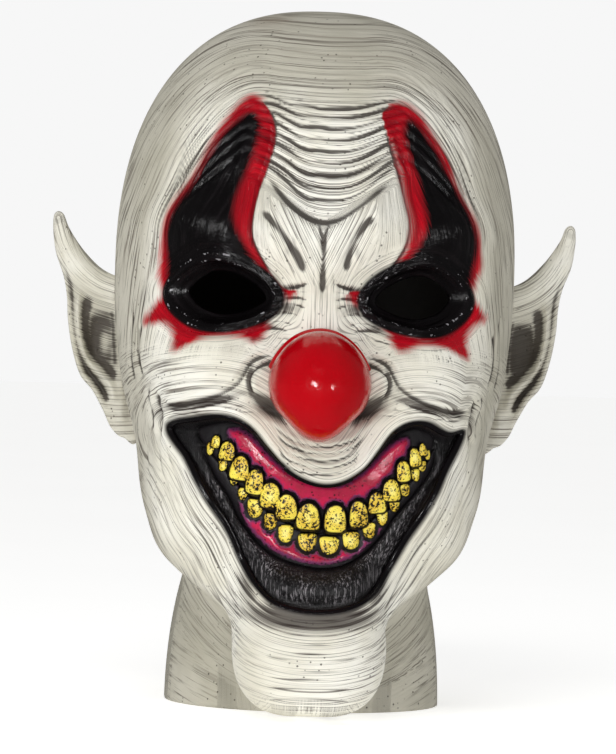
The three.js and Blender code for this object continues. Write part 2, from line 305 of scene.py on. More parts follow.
def signed_distance(p, line, reach=FAR):
    """Distance to a closed outline, negative inside, and the place along it. Far points get the reach."""
    low, high = line.min(0) - reach, line.max(0) + reach
    near = ((p > low) & (p < high)).all(1)
    out, where = np.full(len(p), reach), np.zeros(len(p))
    out[near], where[near] = line_distance(p[near], line, closed=True)
    out = np.minimum(out, reach)
    out[inside(p, line)] *= -1
    return out, where


def mirror(points):
    return [(-x, z) for x, z in points]


# ---------------------------------------------------------------- the head's form
# Rounded lumps, softly joined: place, half sizes, squareness and softness of the join.
LUMPS = [
    ((0, 0, 42), (82, 104, 108), 2.35, 0),        # cranium
    ((0, -30, -25), (71, 80, 75), 2.2, 16),       # face and jaw
    ((0, -70, -98), (30, 43, 35), 2.8, 16),       # chin
    ((0, 20, -140), (57, 60, 110), 2.2, 16),      # neck
]

EYE = [(21, 30), (28, 37), (40, 41.5), (50, 38.5), (55, 32), (50, 25.5), (39, 22.5), (28, 25)]
MOUTH = [(-57.5, -21), (-45, -17.2), (-34, -16.3), (-26, -19.5), (-18.5, -28), (-10, -36.5), (0, -41),
         (9, -40.5),
         (17.5, -35.5), (23.5, -28), (28.5, -20.5), (34, -17), (41, -17), (50, -20.5), (57.5, -20.5),
         (50.5, -35),
         (43, -48), (37, -60), (31, -72), (24, -83), (14, -88.5), (0, -90.3), (-14, -87.5), (-22, -81),
         (-27.5, -72), (-32, -62), (-37, -53), (-43, -43), (-50, -32.5)]
eye_lines = [smooth_line(EYE, 0.8, True), smooth_line(mirror(EYE), 0.8, True)]
mouth_line = smooth_line(MOUTH, 0.8, True)


def head_distance(p):
    near = None
    for at, half, power, blend in LUMPS:
        rel = p - np.array(at, float)
        spread = (np.abs(rel / np.array(half, float)) ** power).sum(1) ** (1 / power)
        d = np.linalg.norm(rel, axis=1) * (1 - 1 / np.maximum(spread, 1e-6))
        if near is None:
            near = d
        else:
            overlap = np.maximum(blend - np.abs(near - d), 0) / blend
            near = np.minimum(near, d) - overlap**2 * blend / 4
    return near


def along_rays(origin, rays, low, high):
    """The distance along each ray at which it leaves the head."""
    near, out = np.full(len(rays), float(low)), np.full(len(rays), float(high))
    for _ in range(26):
        middle = (near + out) / 2
        within = head_distance(origin + rays * middle[:, None]) < 0
        near, out = np.where(within, middle, near), np.where(within, out, middle)
    return near


def head_normals(p):
    step = 0.3
    slope = [head_distance(p + axis * step) - head_distance(p - axis * step) for axis in np.eye(3)]
    n = np.column_stack(slope)
    return n / np.linalg.norm(n, axis=1, keepdims=True)


def face_point(xz):
    """Where a line from the front, at (x, z), meets the undetailed head."""
    origin = np.column_stack([xz[:, 0], np.full(len(xz), SHEET_START), xz[:, 1]])
    ray = np.tile([0.0, -1.0, 0.0], (len(xz), 1))
    return origin + ray * along_rays(origin, ray, 0, SHEET_REACH)[:, None]


def directions(turn, polar):
    return np.column_stack([np.sin(polar) * np.sin(turn), -np.sin(polar) * np.cos(turn), np.cos(polar)])


def rim_polar(turns):
    """The polar angle at which the skin meets the neck rim, for each turn."""
    low, high = np.full(len(turns), math.radians(120)), np.full(len(turns), math.radians(176))
    for _ in range(24):
        middle = (low + high) / 2
        rays = directions(turns, middle)
        z = rays[:, 2] * along_rays(RAY_CENTRE, rays, RAY_NEAR, RAY_FAR)
        low, high = np.where(z > NECK_RIM, middle, low), np.where(z > NECK_RIM, high, middle)
    return (low + high) / 2


def skin_grid(turns, fractions):
    """Rows of points from the crown to the rim. Both arguments may vary from row to row."""
    ends = rim_polar(turns[-1])
    rows = []
    for turn, share in zip(turns, fractions):
        polar = share * ends
        rays = directions(turn, polar)
        rows.append(RAY_CENTRE + rays * along_rays(RAY_CENTRE, rays, RAY_NEAR, RAY_FAR)[:, None])
    return np.array(rows)


# ---------------------------------------------------------------- carved relief, drawn in the front view
# Swellings as (x, z, half width, half height, tilt in degrees, height), on both sides of the face.
SWELLINGS = [
    (43, 1, 21, 15, -8, 8.5),         # cheek apple
    (41, 57, 21, 10, 10, 5.0),        # brow over the eye
    (14.5, 53, 9, 18, -28, 4.0),      # lobe between the brows
    (38, 32, 21, 12, 0, -6.5),        # eye socket
    (18.8, -12.2, 5.5, 2.8, 35, -6.0),   # nostril
    (30, -16, 12, 6, 20, 2.0),        # lip over the gum
    (66, -12, 9, 24, 12, -3.0),       # hollow beside the mouth
    (64, 18, 8, 20, 0, 2.5),          # cheekbone
    (47, -52, 9, 26, 32, 2.2),        # muscle down the jaw
    (17, -118, 14, 16, 0, 1.6),       # chin pad
]
WING = (19.4, -4.0, 5.2, 6.6, 9.5)    # a nose wing's place, half sizes and height
MIDDLE_SWELLINGS = [
    (0, 22, 10, 14, 0, 4.5),          # nose bridge
    (1, 44, 6, 12, 0, 2.0),
    (0, -30, 20, 9, 0, 3.0),          # upper lip
    (0, -97, 30, 5, 0, -1.2),         # dip under the lower lip
    (0, 86, 30, 24, 0, 1.5),          # forehead
]


# How the U-shaped folds of the brow rise to both sides of the middle.
CUP_X = (0, 4, 8, 12, 16, 20, 24, 28, 33)
CUP_RISE = (0, 0.02, 0.09, 0.25, 0.5, 0.8, 1.08, 1.28, 1.4)


# Grooves as (points, half width, depth).
def forehead_grooves():
    """U-shaped folds between the brows, flatter towards the crown, and arches round both brows."""
    grooves = []
    for level, rise in ((68, 12.5), (72.6, 10.5), (77.5, 9.5), (82.4, 8.8), (87, 8), (91.4, 7), (96, 6),
                        (100.5, 5),
                        (104.2, 4)):
        half = [(2 + off, level + rise * cup) for off, cup in zip(CUP_X, CUP_RISE)]
        left = [(4 - x, z + 0.5 * math.sin(1.3 * level + 0.4 * x)) for x, z in reversed(half[1:])]
        grooves.append((left + half, 0.95, 1.6))
        side = 1 if int(level) % 2 else -1
        stray = [(2 + side * off, level + 2.1 + 0.96 * rise * cup) for off, cup in zip(CUP_X, CUP_RISE)]
        grooves.append((stray[int(level) % 3:][:6], 0.6, 0.6))
    for out in (-3.5, -7.5, -12, -16.5, -21.5):
        across = [(25, 106 + out), (30, 108.2 + out), (38, 103 + 1.02 * out), (46, 94 + 0.9 * out),
                  (53, 82 + 0.75 * out),
                  (57.5, 68 + 0.6 * out)]
        grooves.extend(both(across, 0.9, 0.9))
    for step in range(7):
        out = 3.1 * step
        arch = [(0, 107.5 + out), (16, 108.3 + out), (28, 109 + out), (38, 103 + 1.02 * out),
                (46, 94 + 0.9 * out),
                (53, 82 + 0.75 * out), (59, 66 + 0.5 * out), (63 + 0.3 * out, 52), (65 + 0.35 * out, 38)]
        grooves.append((mirror(arch[1:])[::-1] + arch, 0.8, 0.7 - 0.05 * step))
    return grooves


BROW_ARCH = smooth_line([(0, 107.5), (16, 108.3), (28, 109), (38, 103), (46, 94), (53, 82), (59, 66),
                         (63, 52), (65, 38),
                         (66, 20), (66, -10), (60, -40), (46, -70), (0, -90), (-46, -70), (-60, -40),
                         (-66, -10),
                         (-66, 20), (-65, 38), (-63, 52), (-59, 66), (-53, 82), (-46, 94), (-38, 103),
                         (-28, 109),
                         (-16, 108.3)], 1.5, True)


def both(points, width, depth):
    return [(points, width, depth), (mirror(points), width, depth)]


# Grooves between the brows as (points, half width, depth).
BROW_LINES = [
    ([(0.5, 31), (0.3, 38), (0.5, 47), (0.2, 56)], 1.6, 2.0),
    ([(-24, 80), (-19, 73), (-13, 66), (-6, 61), (0.5, 59.4), (7, 61), (13.5, 65.5), (20, 71), (28, 78)],
     1.5, 2.0),
    ([(-1.8, 60), (-1.2, 57), (0.2, 53.5), (1.8, 57), (3, 60)], 1.0, 1.4),
    ([(-27, 108), (-20.5, 101), (-19, 92), (-21.5, 81), (-24.8, 71), (-26.2, 61), (-26, 52), (-22, 42.5),
      (-15.5, 34.8)], 0.9, 1.3),
    ([(22, 101), (24, 94), (26.5, 86), (29, 79), (31, 70), (32, 60), (31, 50.5), (27, 41.5), (20, 35.2),
      (12, 33.4)], 0.9, 1.3),
    ([(-24, 64), (-19, 59), (-14.5, 53.5), (-9.5, 46), (-6, 38)], 1.9, 1.7),
    ([(20, 63), (14.5, 57), (11, 50.5), (9.5, 44), (9, 39.5)], 1.8, 1.6),
    ([(-21, 57), (-16.5, 50), (-12, 43), (-9, 37)], 0.7, 0.6),
    ([(22, 56), (18, 49), (14.5, 43), (13, 38)], 0.7, 0.5),
    ([(-3, 52), (-3.4, 44), (-2.8, 36), (-3.6, 28)], 0.6, 0.6),
    ([(4.6, 52), (4, 44), (4.4, 36), (5, 29)], 0.6, 0.6),
]
# The same for grooves that both sides of the face have.
PAIRED_LINES = [
    ([(4, 36.5), (8, 34.8), (14, 33.6), (20, 34.2)], 0.9, 1.3),
    ([(3.5, 32), (8, 32.4), (13, 32), (18, 31.2)], 0.6, 0.8),
    ([(4, 29), (9, 30.2), (14, 29.8), (19, 28.4)], 0.8, 1.2),
    ([(5, 25.8), (10, 27.6), (15, 27.4), (21, 25.4)], 0.7, 1.0),
    ([(7, 22.6), (12, 24.4), (17, 24.2), (23, 21.6)], 0.7, 0.9),
    ([(10, 19.4), (15, 21), (20, 20.6), (25, 18.6)], 0.6, 0.8),
    ([(11, 16.6), (16, 18.2), (22, 18), (29, 15)], 0.8, 1.1),
    ([(13, 13.8), (18, 14.8), (23, 14), (28, 12.4)], 0.6, 0.7),
    ([(14, 5.2), (18, 4.6), (21.4, 2.6), (23.6, -0.8), (24.2, -4.6), (22.8, -9)], 1.2, 2.8),
    ([(15, 7.6), (21, 6.6), (25, 4), (27.2, -0.5), (30, -4.6), (36, -8.8), (43, -11.2), (50, -12.6),
      (57, -12.2), (61, -9)], 1.2, 2.2),
    ([(28, -7.6), (34, -11), (42, -13.2), (50, -14.4), (58, -13.6)], 0.7, 1.0),
    ([(24, -11.4), (31, -12.8), (40, -14.8), (50, -15.8), (57, -15.4)], 0.6, 0.7),
    ([(22, -14), (28, -14.6), (34, -15.4)], 0.6, 0.6),
    ([(61, -7), (62.2, -12), (61, -18), (63, -26)], 1.6, 2.2),
    ([(65, -5), (66.5, -14), (65.5, -24)], 1.0, 1.0),
    ([(60, -23), (57, -34), (50.5, -48), (44, -61), (37.5, -74), (31.5, -86), (26, -94)], 0.9, 0.75),
    ([(62, -22), (58.5, -36), (52.5, -49), (46, -62.5), (39.5, -76), (33.5, -88), (29, -97)], 0.6, 0.4),
    ([(63.5, -24), (60.5, -37), (55, -50), (48.5, -64), (42, -78), (35.5, -90), (31.5, -99)], 0.8, 0.6),
    ([(66.5, -28), (63, -44), (57, -57), (51, -69), (44, -82), (38, -94)], 0.7, 0.4),
    ([(69, -20), (67, -36), (61, -54), (55, -67)], 0.7, 0.35),
    ([(68, 20), (69, 8), (67.5, -3)], 1.0, 1.0),
    ([(72, 26), (73, 10), (72, -6)], 0.9, 0.8),
]


def chin_grooves():
    """Level folds down the chin, shorter and flatter towards its tip."""
    levels = (-93.5, -96.3, -99.4, -102.6, -106.2, -109.3, -112.8, -116.2, -119.8, -124)
    grooves = []
    for number, level in enumerate(levels):
        reach = 26 - 0.9 * number
        lift = 6.5 - 0.75 * number
        left_half = [(-reach, level + lift), (-0.6 * reach, level + 0.3 * lift), (0, level)]
        right_half = [(0.55 * reach, level + 0.25 * lift), (reach, level + lift)]
        grooves.append((left_half + right_half, 0.8, 0.75))
    return grooves


def lip_grooves():
    """Sagging folds on the upper lip, under the nose."""
    grooves = []
    for number, level in enumerate((-27, -29.6, -32.2, -34.8, -37.4)):
        left_half = [(-19 + number, level + 10), (-11, level + 3), (1, level)]
        right_half = [(13, level + 2.6), (20 - number, level + 9)]
        grooves.append((left_half + right_half, 0.7, 0.9))
    return grooves


paired_grooves = [groove for entry in PAIRED_LINES for groove in both(*entry)]
GROOVES = forehead_grooves() + BROW_LINES + paired_grooves + chin_grooves() + lip_grooves()

# Paint, as closed outlines in the front view.
RED_PATCHES = [
    [(-27, 109), (-20.8, 101.5), (-19, 92), (-21.5, 81), (-24.6, 71), (-26, 61), (-25.8, 52), (-22, 42.8),
     (-14.5, 34),
     (-9, 33.2), (-15, 29), (-21, 25), (-20, 19), (-24, 12.6), (-30, 14.5), (-42, 13.8), (-52, 8.6),
     (-54.5, 15),
     (-60, 19.6), (-66.5, 19.5), (-64, 26), (-61, 31), (-63, 38), (-62.5, 46), (-60, 56), (-55, 70),
     (-48, 83),
     (-41, 96), (-33, 106)],
    [(29, 108), (22.5, 104), (22.6, 100), (24.5, 94), (26.8, 86), (29.3, 79), (31.3, 70), (32.3, 60),
     (31.3, 50.5),
     (27.2, 41.3), (20, 34.6), (11, 33.2), (12, 29.5), (20, 27), (25, 20), (28.8, 10.5), (37, 13), (46, 12.5),
     (54, 8.4), (55.5, 15), (60, 21.5), (65, 25.5), (60.5, 33), (62.6, 41), (63.4, 48), (59, 61), (54, 73),
     (48, 88),
     (42.5, 97), (36, 105)],
]
BLACK_PATCHES = [
    [(-29, 102.5), (-25, 96), (-28.5, 82), (-33, 69), (-32, 57), (-26, 45), (-19, 35), (-17.5, 29), (-24, 22),
     (-33, 16.5), (-43, 16), (-53, 20.5), (-60, 28), (-60.5, 40), (-59.5, 52), (-56, 63), (-50, 76),
     (-44, 87),
     (-37, 96.5)],
    [(33, 101.5), (31.5, 95), (34.5, 84), (38, 71), (38, 58), (33.5, 47.5), (26.5, 38), (19, 33), (20, 28),
     (27, 20.5),
     (36, 16), (45, 16), (54, 20.5), (60, 29), (60.5, 42), (60.5, 52), (57, 62), (53, 73), (47, 84),
     (41, 94)],
]


EYE_RINGS = (2.0, 4.4, 7.0)    # distances from the eye opening of the fine grooves round it


def raised(xz):
    """How far the swellings and the nose wings stand out."""
    height = np.zeros(len(xz))
    opposite = [(-x, z, half_x, half_z, -tilt, rise) for x, z, half_x, half_z, tilt, rise in SWELLINGS]
    for x, z, half_x, half_z, tilt, rise in SWELLINGS + opposite + MIDDLE_SWELLINGS:
        turn = math.radians(tilt)
        dx, dz = xz[:, 0] - x, xz[:, 1] - z
        u = (dx * math.cos(turn) + dz * math.sin(turn)) / half_x
        v = (dz * math.cos(turn) - dx * math.sin(turn)) / half_z
        height += rise * np.exp(-((u**2 + v**2) ** 1.35) * 0.75)
    x, z, half_x, half_z, rise = WING
    round_wing = ((np.abs(xz[:, 0]) - x) / half_x) ** 2 + ((xz[:, 1] - z) / half_z) ** 2
    return height + rise * np.exp(-0.8 * round_wing**2.6)


def carved(xz, front):
    """The grooves' depth, the height of the ridges beside them, and the brown paint in them with painted
    shade beside it.
    """
    groove, ridges, shade = np.zeros(len(xz)), np.zeros(len(xz)), np.zeros(len(xz))
    for points, width, depth in GROOVES:
        line = smooth_line(points)
        reach = 4.5 * width
        near = ((xz > line.min(0) - reach) & (xz < line.max(0) + reach)).all(1) & (front > 0)
        if not near.any():
            continue
        d, along = line_distance(xz[near], line)
        taper = np.clip(np.minimum(along, 1 - along) * 7, 0, 1)
        taper *= 0.8 + 0.2 * np.sin(9 * along + line[0, 1])
        level = np.interp(along * (len(line) - 1), np.arange(len(line)), line[:, 1])
        above = np.clip(0.5 + (xz[near, 1] - level) / width, 0, 1)
        groove[near] = np.maximum(groove[near], depth * taper * np.exp(-(d / width) ** 2))
        # Brown paint along the groove's bottom, and painted shade on its upper side, under the fold above it.
        groove_paint_and_shade = np.exp(-(d / (0.7 * width)) ** 2) + 0.45 * above * np.exp(-(d / (1.9 * width)) ** 2)
        shade[near] = np.maximum(shade[near], np.minimum(depth, 1.2) / 1.2 * taper * groove_paint_and_shade)
        ridge = np.exp(-((d - 2.0 * width) / (1.1 * width)) ** 2)
        ridges[near] += (0.12 + 0.4 * above) * depth * taper * ridge
    return groove, ridges, shade


def relief(p):
    """How far the carving moves each point outwards, its brown paint and painted shade, and its distance to
    eyes and mouth.
    """
    xz = p[:, [0, 2]]
    front = np.clip((PARTING - 5 - p[:, 1]) / 40, 0, 1)
    groove, ridges, shade = carved(xz, front)
    eye = np.minimum(*(signed_distance(xz, line)[0] for line in eye_lines))
    mouth = signed_distance(xz, mouth_line)[0]
    height = raised(xz) + ridges + 2.6 * np.exp(-((eye - 3.4) / 2.6) ** 2)
    height += np.interp(xz[:, 1], [-84, -60], [0.3, 1.5]) * np.exp(-((mouth - 2.4) / 2.2) ** 2)
    for ring in EYE_RINGS:
        height -= 0.4 * np.exp(-((eye - ring) / 0.55) ** 2)
    return (height - groove) * front, shade * front, eye, mouth


# Painted brown shade as soft blobs in the hollows: (x, z, half width, half height, tilt, strength), on both
# sides of the face.
PAINTED_SHADE_BLOBS = [
    (18.8, -11.8, 6.4, 2.7, 35, 1.8),     # nostril
    (15, -16, 5, 2.6, 45, 0.7),
    (24.6, -3, 1.7, 6.5, 0, 1.3),         # crease behind the nose wing
    (37, -10.6, 12, 2.0, -18, 0.95),      # fold under the cheek
    (52, -13.2, 9, 2.0, 0, 0.7),
    (61, -16, 4.0, 9.0, 0, 0.75),         # corner of the mouth
    (15, 27, 8, 3.2, 12, 0.85),           # beside the bridge
    (13, 34, 7, 1.8, -10, 0.8),
    (20, 19, 7, 1.5, -5, 0.6),
    (68, 30, 3.5, 11, 0, 0.45),           # temple
    (0, -91.0, 27, 7.0, 0, 1.3),          # under the lower lip
    (25, -83, 9, 3.4, 62, 0.8),
    (12, 50, 2.2, 9.0, 25, 0.45),         # between the brows
]


def blobs(p, shapes):
    """The strongest of some soft blobs at each point, mirrored to both sides."""
    strength = np.zeros(len(p))
    for x, z, half_x, half_z, tilt, most in shapes:
        for side in (1, -1):
            turn = math.radians(side * tilt)
            dx, dz = p[:, 0] - side * x, p[:, 2] - z
            u = (dx * math.cos(turn) + dz * math.sin(turn)) / half_x
            v = (dz * math.cos(turn) - dx * math.sin(turn)) / half_z
            strength = np.maximum(strength, most * np.exp(-(u**2 + v**2)))
    return strength * (p[:, 1] < 5)


def fold_level(p):
    """A coordinate that is even along the folds: U shapes on the brow, arches over it, level behind."""
    x, z = p[:, 0], p[:, 2]
    off = np.abs(x - 2)
    rise = np.interp(z, [50, 68, 87, 104, 112], [13, 12.5, 8, 4, 1])
    cup = z - rise * np.interp(off, CUP_X, CUP_RISE)
    arch = 107.5 + signed_distance(p[:, [0, 2]], BROW_ARCH, 120.0)[0]
    inner = np.clip((35 - np.abs(x)) / 8, 0, 1) * np.clip((112 - z) / 8, 0, 1)
    upper = inner * cup + (1 - inner) * arch
    beside = np.clip((34 - np.abs(x)) / 14, 0, 1)
    lobe = np.clip((59.4 + 0.66 * np.abs(x) - z) / 3, 0, 1) * beside
    slant = 0.6 * np.clip((np.abs(x) - 5) / 9, 0, 1)
    brow = 0.9 * np.abs(x) - 0.42 * np.clip(z - 35, 0, None) - slant * np.clip(30 - z, 0, None)
    rear = np.clip((p[:, 1] - 5) / 20, 0, 1)
    return (1 - rear) * ((1 - lobe) * upper + lobe * brow) + rear * z


def paint_fields(p, shade, eye, mouth):
    """Distances and masks that the paint is drawn from."""
    xz = p[:, [0, 2]]

    def nearest(outlines):
        return np.minimum(*(signed_distance(xz, smooth_line(o, 1.0, True))[0] for o in outlines))

    distances = {"eye_d": eye, "mouth_d": mouth, "red_d": nearest(RED_PATCHES),
                 "black_d": nearest(BLACK_PATCHES)}
    facing = p[:, 1] < 10
    return {"shade": shade} | {key: np.where(facing, values, FAR) for key, values in distances.items()}


# ---------------------------------------------------------------- meshes
# What each field is where the latex carries no paint.
BARE = {"shade": 0, "shade_and_black_paint": 0, "eye_d": FAR, "mouth_d": FAR, "red_d": FAR, "black_d": FAR, "white": 0,
        "mouth_zone": 0, "crisp": 0, "stain": 0, "fold": 0, "inside": 0}


def make_object(name, vertices, faces, material, attributes=None):
    """An object from head-frame millimetres, smooth shaded, with its attributes."""
    mesh = bpy.data.meshes.new(name)
    points = (np.asarray(vertices) + HEAD_TO_ROW) * MM
    mesh.from_pydata(points.tolist(), [], [list(map(int, f)) for f in faces])
    for key, values in (attributes or {}).items():
        layer = mesh.attributes.new(key, "FLOAT", "POINT")
        layer.data.foreach_set("value", np.asarray(values, np.float32))
    mesh.polygons.foreach_set("use_smooth", [True] * len(mesh.polygons))
    mesh.materials.append(material)
    mesh.update()
    made = bpy.data.objects.new(name, mesh)
    bpy.context.scene.collection.objects.link(made)
    return made


def grid_faces(rows, columns, start=0, flip=False):
    r, c = np.meshgrid(np.arange(rows - 1), np.arange(columns - 1), indexing="ij")
    a = start + (r * columns + c).ravel()
    quads = np.column_stack([a, a + columns, a + columns + 1, a + 1])
    return quads[:, ::-1] if flip else quads


def perimeter(rows, columns):
    """Indices round a grid's edge, and how far round each lies, from 0 to 4."""
    top = [(c, c / (columns - 1)) for c in range(columns - 1)]
    right = [(r * columns + columns - 1, 1 + r / (rows - 1)) for r in range(rows - 1)]
    bottom = [((rows - 1) * columns + c, 3 - c / (columns - 1)) for c in range(columns - 1, 0, -1)]
    left = [(r * columns, 4 - r / (rows - 1)) for r in range(rows - 1, 0, -1)]
    ring = top + right + bottom + left
    return np.array([i for i, _ in ring]), np.array([t for _, t in ring])


def zip_loops(a, at, b, bt, period):
    """Triangles between two closed loops of vertices, each sorted by its place round the loop."""
    faces, i, j = [], 0, 0
    while i < len(a) or j < len(b):
        next_a = at[i + 1] if i + 1 < len(a) else at[0] + period + (i + 1 - len(a))
        next_b = bt[j + 1] if j + 1 < len(b) else bt[0] + period + (j + 1 - len(b))
        if i < len(a) and (next_a <= next_b or j >= len(b)):
            faces.append((a[i % len(a)], b[j % len(b)], a[(i + 1) % len(a)]))
            i += 1
        else:
            faces.append((a[i % len(a)], b[j % len(b)], b[(j + 1) % len(b)]))
            j += 1
    return faces


def cut_hole(points, quads, line):
    """Drops the quads inside an outline seen from the front and moves the hole's edge onto it."""
    centres = points[quads].mean(1)
    d, _ = signed_distance(centres[:, [0, 2]], line)
    gone = (d < 0) & (centres[:, 1] < SHEET_START)
    kept = quads[~gone]
    edge = np.intersect1d(np.unique(quads[gone]), np.unique(kept))
    ends = np.vstack([line, line[:1]])
    _, where = line_distance(points[edge][:, [0, 2]], line, closed=True)
    snapped = np.column_stack([np.interp(where * len(line), np.arange(len(ends)), ends[:, k]) for k in (0,
                                                                                                        1)])
    points[edge] = face_point(snapped)
    order = np.argsort(where)
    return points, kept, edge[order], where[order]


ROLL_STEPS = 4


def roll_edge(positions, normals, loop):
    """Rings of points that turn a hole's edge round the latex's thickness, to the inner face."""
    here = positions[loop]
    tangent = np.roll(here, -2, 0) - np.roll(here, 2, 0)
    tangent /= np.linalg.norm(tangent, axis=1, keepdims=True)
    inwards = np.cross(tangent, normals)
    towards = here.mean(0) - here
    inwards *= np.sign((inwards * towards).sum(1))[:, None]
    rings = []
    for step in range(1, ROLL_STEPS + 1):
        angle = math.pi * step / ROLL_STEPS
        rings.append(here + LATEX / 2 * (inwards * math.sin(angle) - normals * (1 - math.cos(angle))))
    return rings


# ---------------------------------------------------------------- materials of the mask
def choose(g, factor, a, b):
    """A value that goes from a to b as the factor goes from 0 to 1."""
    made = g.node("ShaderNodeMix", data_type="FLOAT")
    for socket, value in zip(made.inputs, (factor, None, a, b)):
        g.link(socket, value)
    return made.outputs[0]


def brushed(g, per_mm, detail):
    """Streaks that follow the folds, the mouth or the eyes, whichever is near."""
    drift = g.vector("SCALE", g.texture, None, 34.0)

    def streaks(field):
        across = g.combine(g.maths("MULTIPLY", g.attribute(field), per_mm), 0.0, 0.0)
        return g.noise(1.0, detail, g.vector("ADD", drift, across), 0.65)

    away = choose(g, g.attribute("mouth_zone"), streaks("fold"), streaks("mouth_d"))
    return choose(g, g.spread(g.attribute("eye_d"), 15.0, 9.0), away, streaks("eye_d"))


def worn_latex(g, streak, hair, blotch, specks):
    """Cream and beige latex with brushed hair lines, brown paint and painted shade in its folds, painted
    brown shade in its hollows and a dark painted shade on its inner face.
    """
    shade = g.attribute("shade")
    centre = g.maths("MULTIPLY", g.attribute("white"), g.spread(blotch, 0.25, 0.6, 0.78, 1.0), clamp=True)
    cream = g.mix(g.spread(blotch, 0.3, 0.7), colour(232, 228, 212), colour(243, 241, 232))
    outer = g.mix(g.spread(blotch, 0.3, 0.7), colour(180, 176, 160), colour(200, 196, 182))
    base = g.mix(centre, outer, cream)
    thin = g.maths("MULTIPLY", g.spread(hair, 0.52, 0.61), g.spread(blotch, 0.35, 0.6, 0.45, 1.0))
    base = g.mix(g.maths("MULTIPLY", thin, 0.78), base, colour(86, 78, 68))
    base = g.mix(g.maths("MULTIPLY", g.spread(streak, 0.54, 0.72), 0.55), base, colour(120, 110, 98))
    uneven = g.maths("SUBTRACT", hair, 0.5)
    # Brown paint in the grooves and painted shade beside them, from the shade field, broken up by the hair
    # lines.
    groove_paint_and_shade = g.maths("ADD", shade, g.maths("MULTIPLY", uneven, 0.9))
    groove_paint_and_shade = g.maths("MULTIPLY", g.spread(groove_paint_and_shade, 0.28, 0.8), g.spread(shade, 0.08, 0.3))
    base = g.mix(g.maths("MULTIPLY", groove_paint_and_shade, 0.9), base, colour(52, 44, 39))
    # Painted brown shade in the hollows, from the soft blobs.
    shade_and_black_paint = g.attribute("shade_and_black_paint")
    painted_shade_mask = g.spread(g.maths("ADD", shade_and_black_paint, g.maths("MULTIPLY", uneven, 1.3)), 0.2, 0.85)
    painted_shade_mask = g.maths("MULTIPLY", painted_shade_mask, g.spread(shade_and_black_paint, 0.04, 0.3))
    base = g.mix(g.maths("MULTIPLY", painted_shade_mask, 0.88), base, colour(50, 40, 36))
    base = g.mix(g.maths("MULTIPLY", specks, 0.8), base, colour(66, 60, 52))
    base = g.mix(g.maths("MULTIPLY", g.attribute("stain"), 0.5), base, colour(132, 112, 92))
    # The inner face is painted dark grey-brown: painted shade inside the mask.
    return g.mix(g.attribute("inside"), base, g.mix(blotch, colour(46, 42, 38), colour(60, 56, 51)))


def face_paint(g, base, streak, hair):
    """Red patches, then black ones, the rings round the eyes with pale painted glints on them, and the black
    lip. Also says how they shine.
    """
    eye_d, mouth_d = g.attribute("eye_d"), g.attribute("mouth_d")
    mean = g.maths("MULTIPLY", g.maths("ADD", streak, hair), 0.5)
    ragged = g.maths("MULTIPLY", g.maths("SUBTRACT", mean, 0.5), 9.0)
    soft_red = g.spread(g.maths("ADD", g.attribute("red_d"), ragged), 2.2, -1.6)
    crisp_red = g.spread(g.attribute("red_d"), 0.5, -0.4)
    red_mask = choose(g, g.attribute("crisp"), soft_red, crisp_red)
    crimson = g.mix(g.spread(streak, 0.35, 0.7), colour(186, 0, 24), colour(136, 0, 16))
    # The red is darker in the grooves, with the brown paint and painted shade of the shade field.
    crimson = g.mix(g.maths("MULTIPLY", g.attribute("shade"), 0.6), crimson, colour(58, 4, 12))
    painted = g.mix(red_mask, base, crimson)
    black_edge = g.maths("ADD", g.attribute("black_d"), g.maths("MULTIPLY", ragged, 0.8))
    black_mask = g.maths("MAXIMUM", g.spread(black_edge, 2.0, -1.8), g.spread(eye_d, 7.8, 6.0))
    # The black paint's own tone, streaked.
    shade_and_black_paint = g.mix(g.spread(streak, 0.45, 0.75), colour(7, 5, 6), colour(24, 20, 22))
    painted = g.mix(black_mask, painted, shade_and_black_paint)
    # Painted glints: short pale dashes along the rings round the eyes, a painted highlight on the glossy
    # rims.
    rings = g.maths("SINE", g.maths("MULTIPLY", eye_d, 2.6))
    painted_glints = g.maths("MULTIPLY", g.spread(rings, 0.35, 0.9), g.spread(g.noise(480.0, 2.0), 0.6, 0.68))
    on_rim = g.maths("MULTIPLY", g.spread(eye_d, 8.0, 6.5), g.spread(eye_d, 0.8, 1.6))
    painted_glints = g.maths("MULTIPLY", g.maths("MULTIPLY", painted_glints, on_rim), 0.6)
    painted = g.mix(painted_glints, painted, colour(176, 174, 178))
    lip = g.spread(g.maths("ADD", mouth_d, g.maths("MULTIPLY", ragged, 0.12)), 2.0, 0.2)
    painted = g.mix(lip, painted, colour(12, 9, 11))
    black = g.maths("MAXIMUM", black_mask, lip)
    shine = g.maths("MAXIMUM", g.maths("MULTIPLY", red_mask, 0.8), black)
    return painted, g.maths("ADD", shine, g.maths("MULTIPLY", g.spread(eye_d, 9.0, 6.0), 0.25))


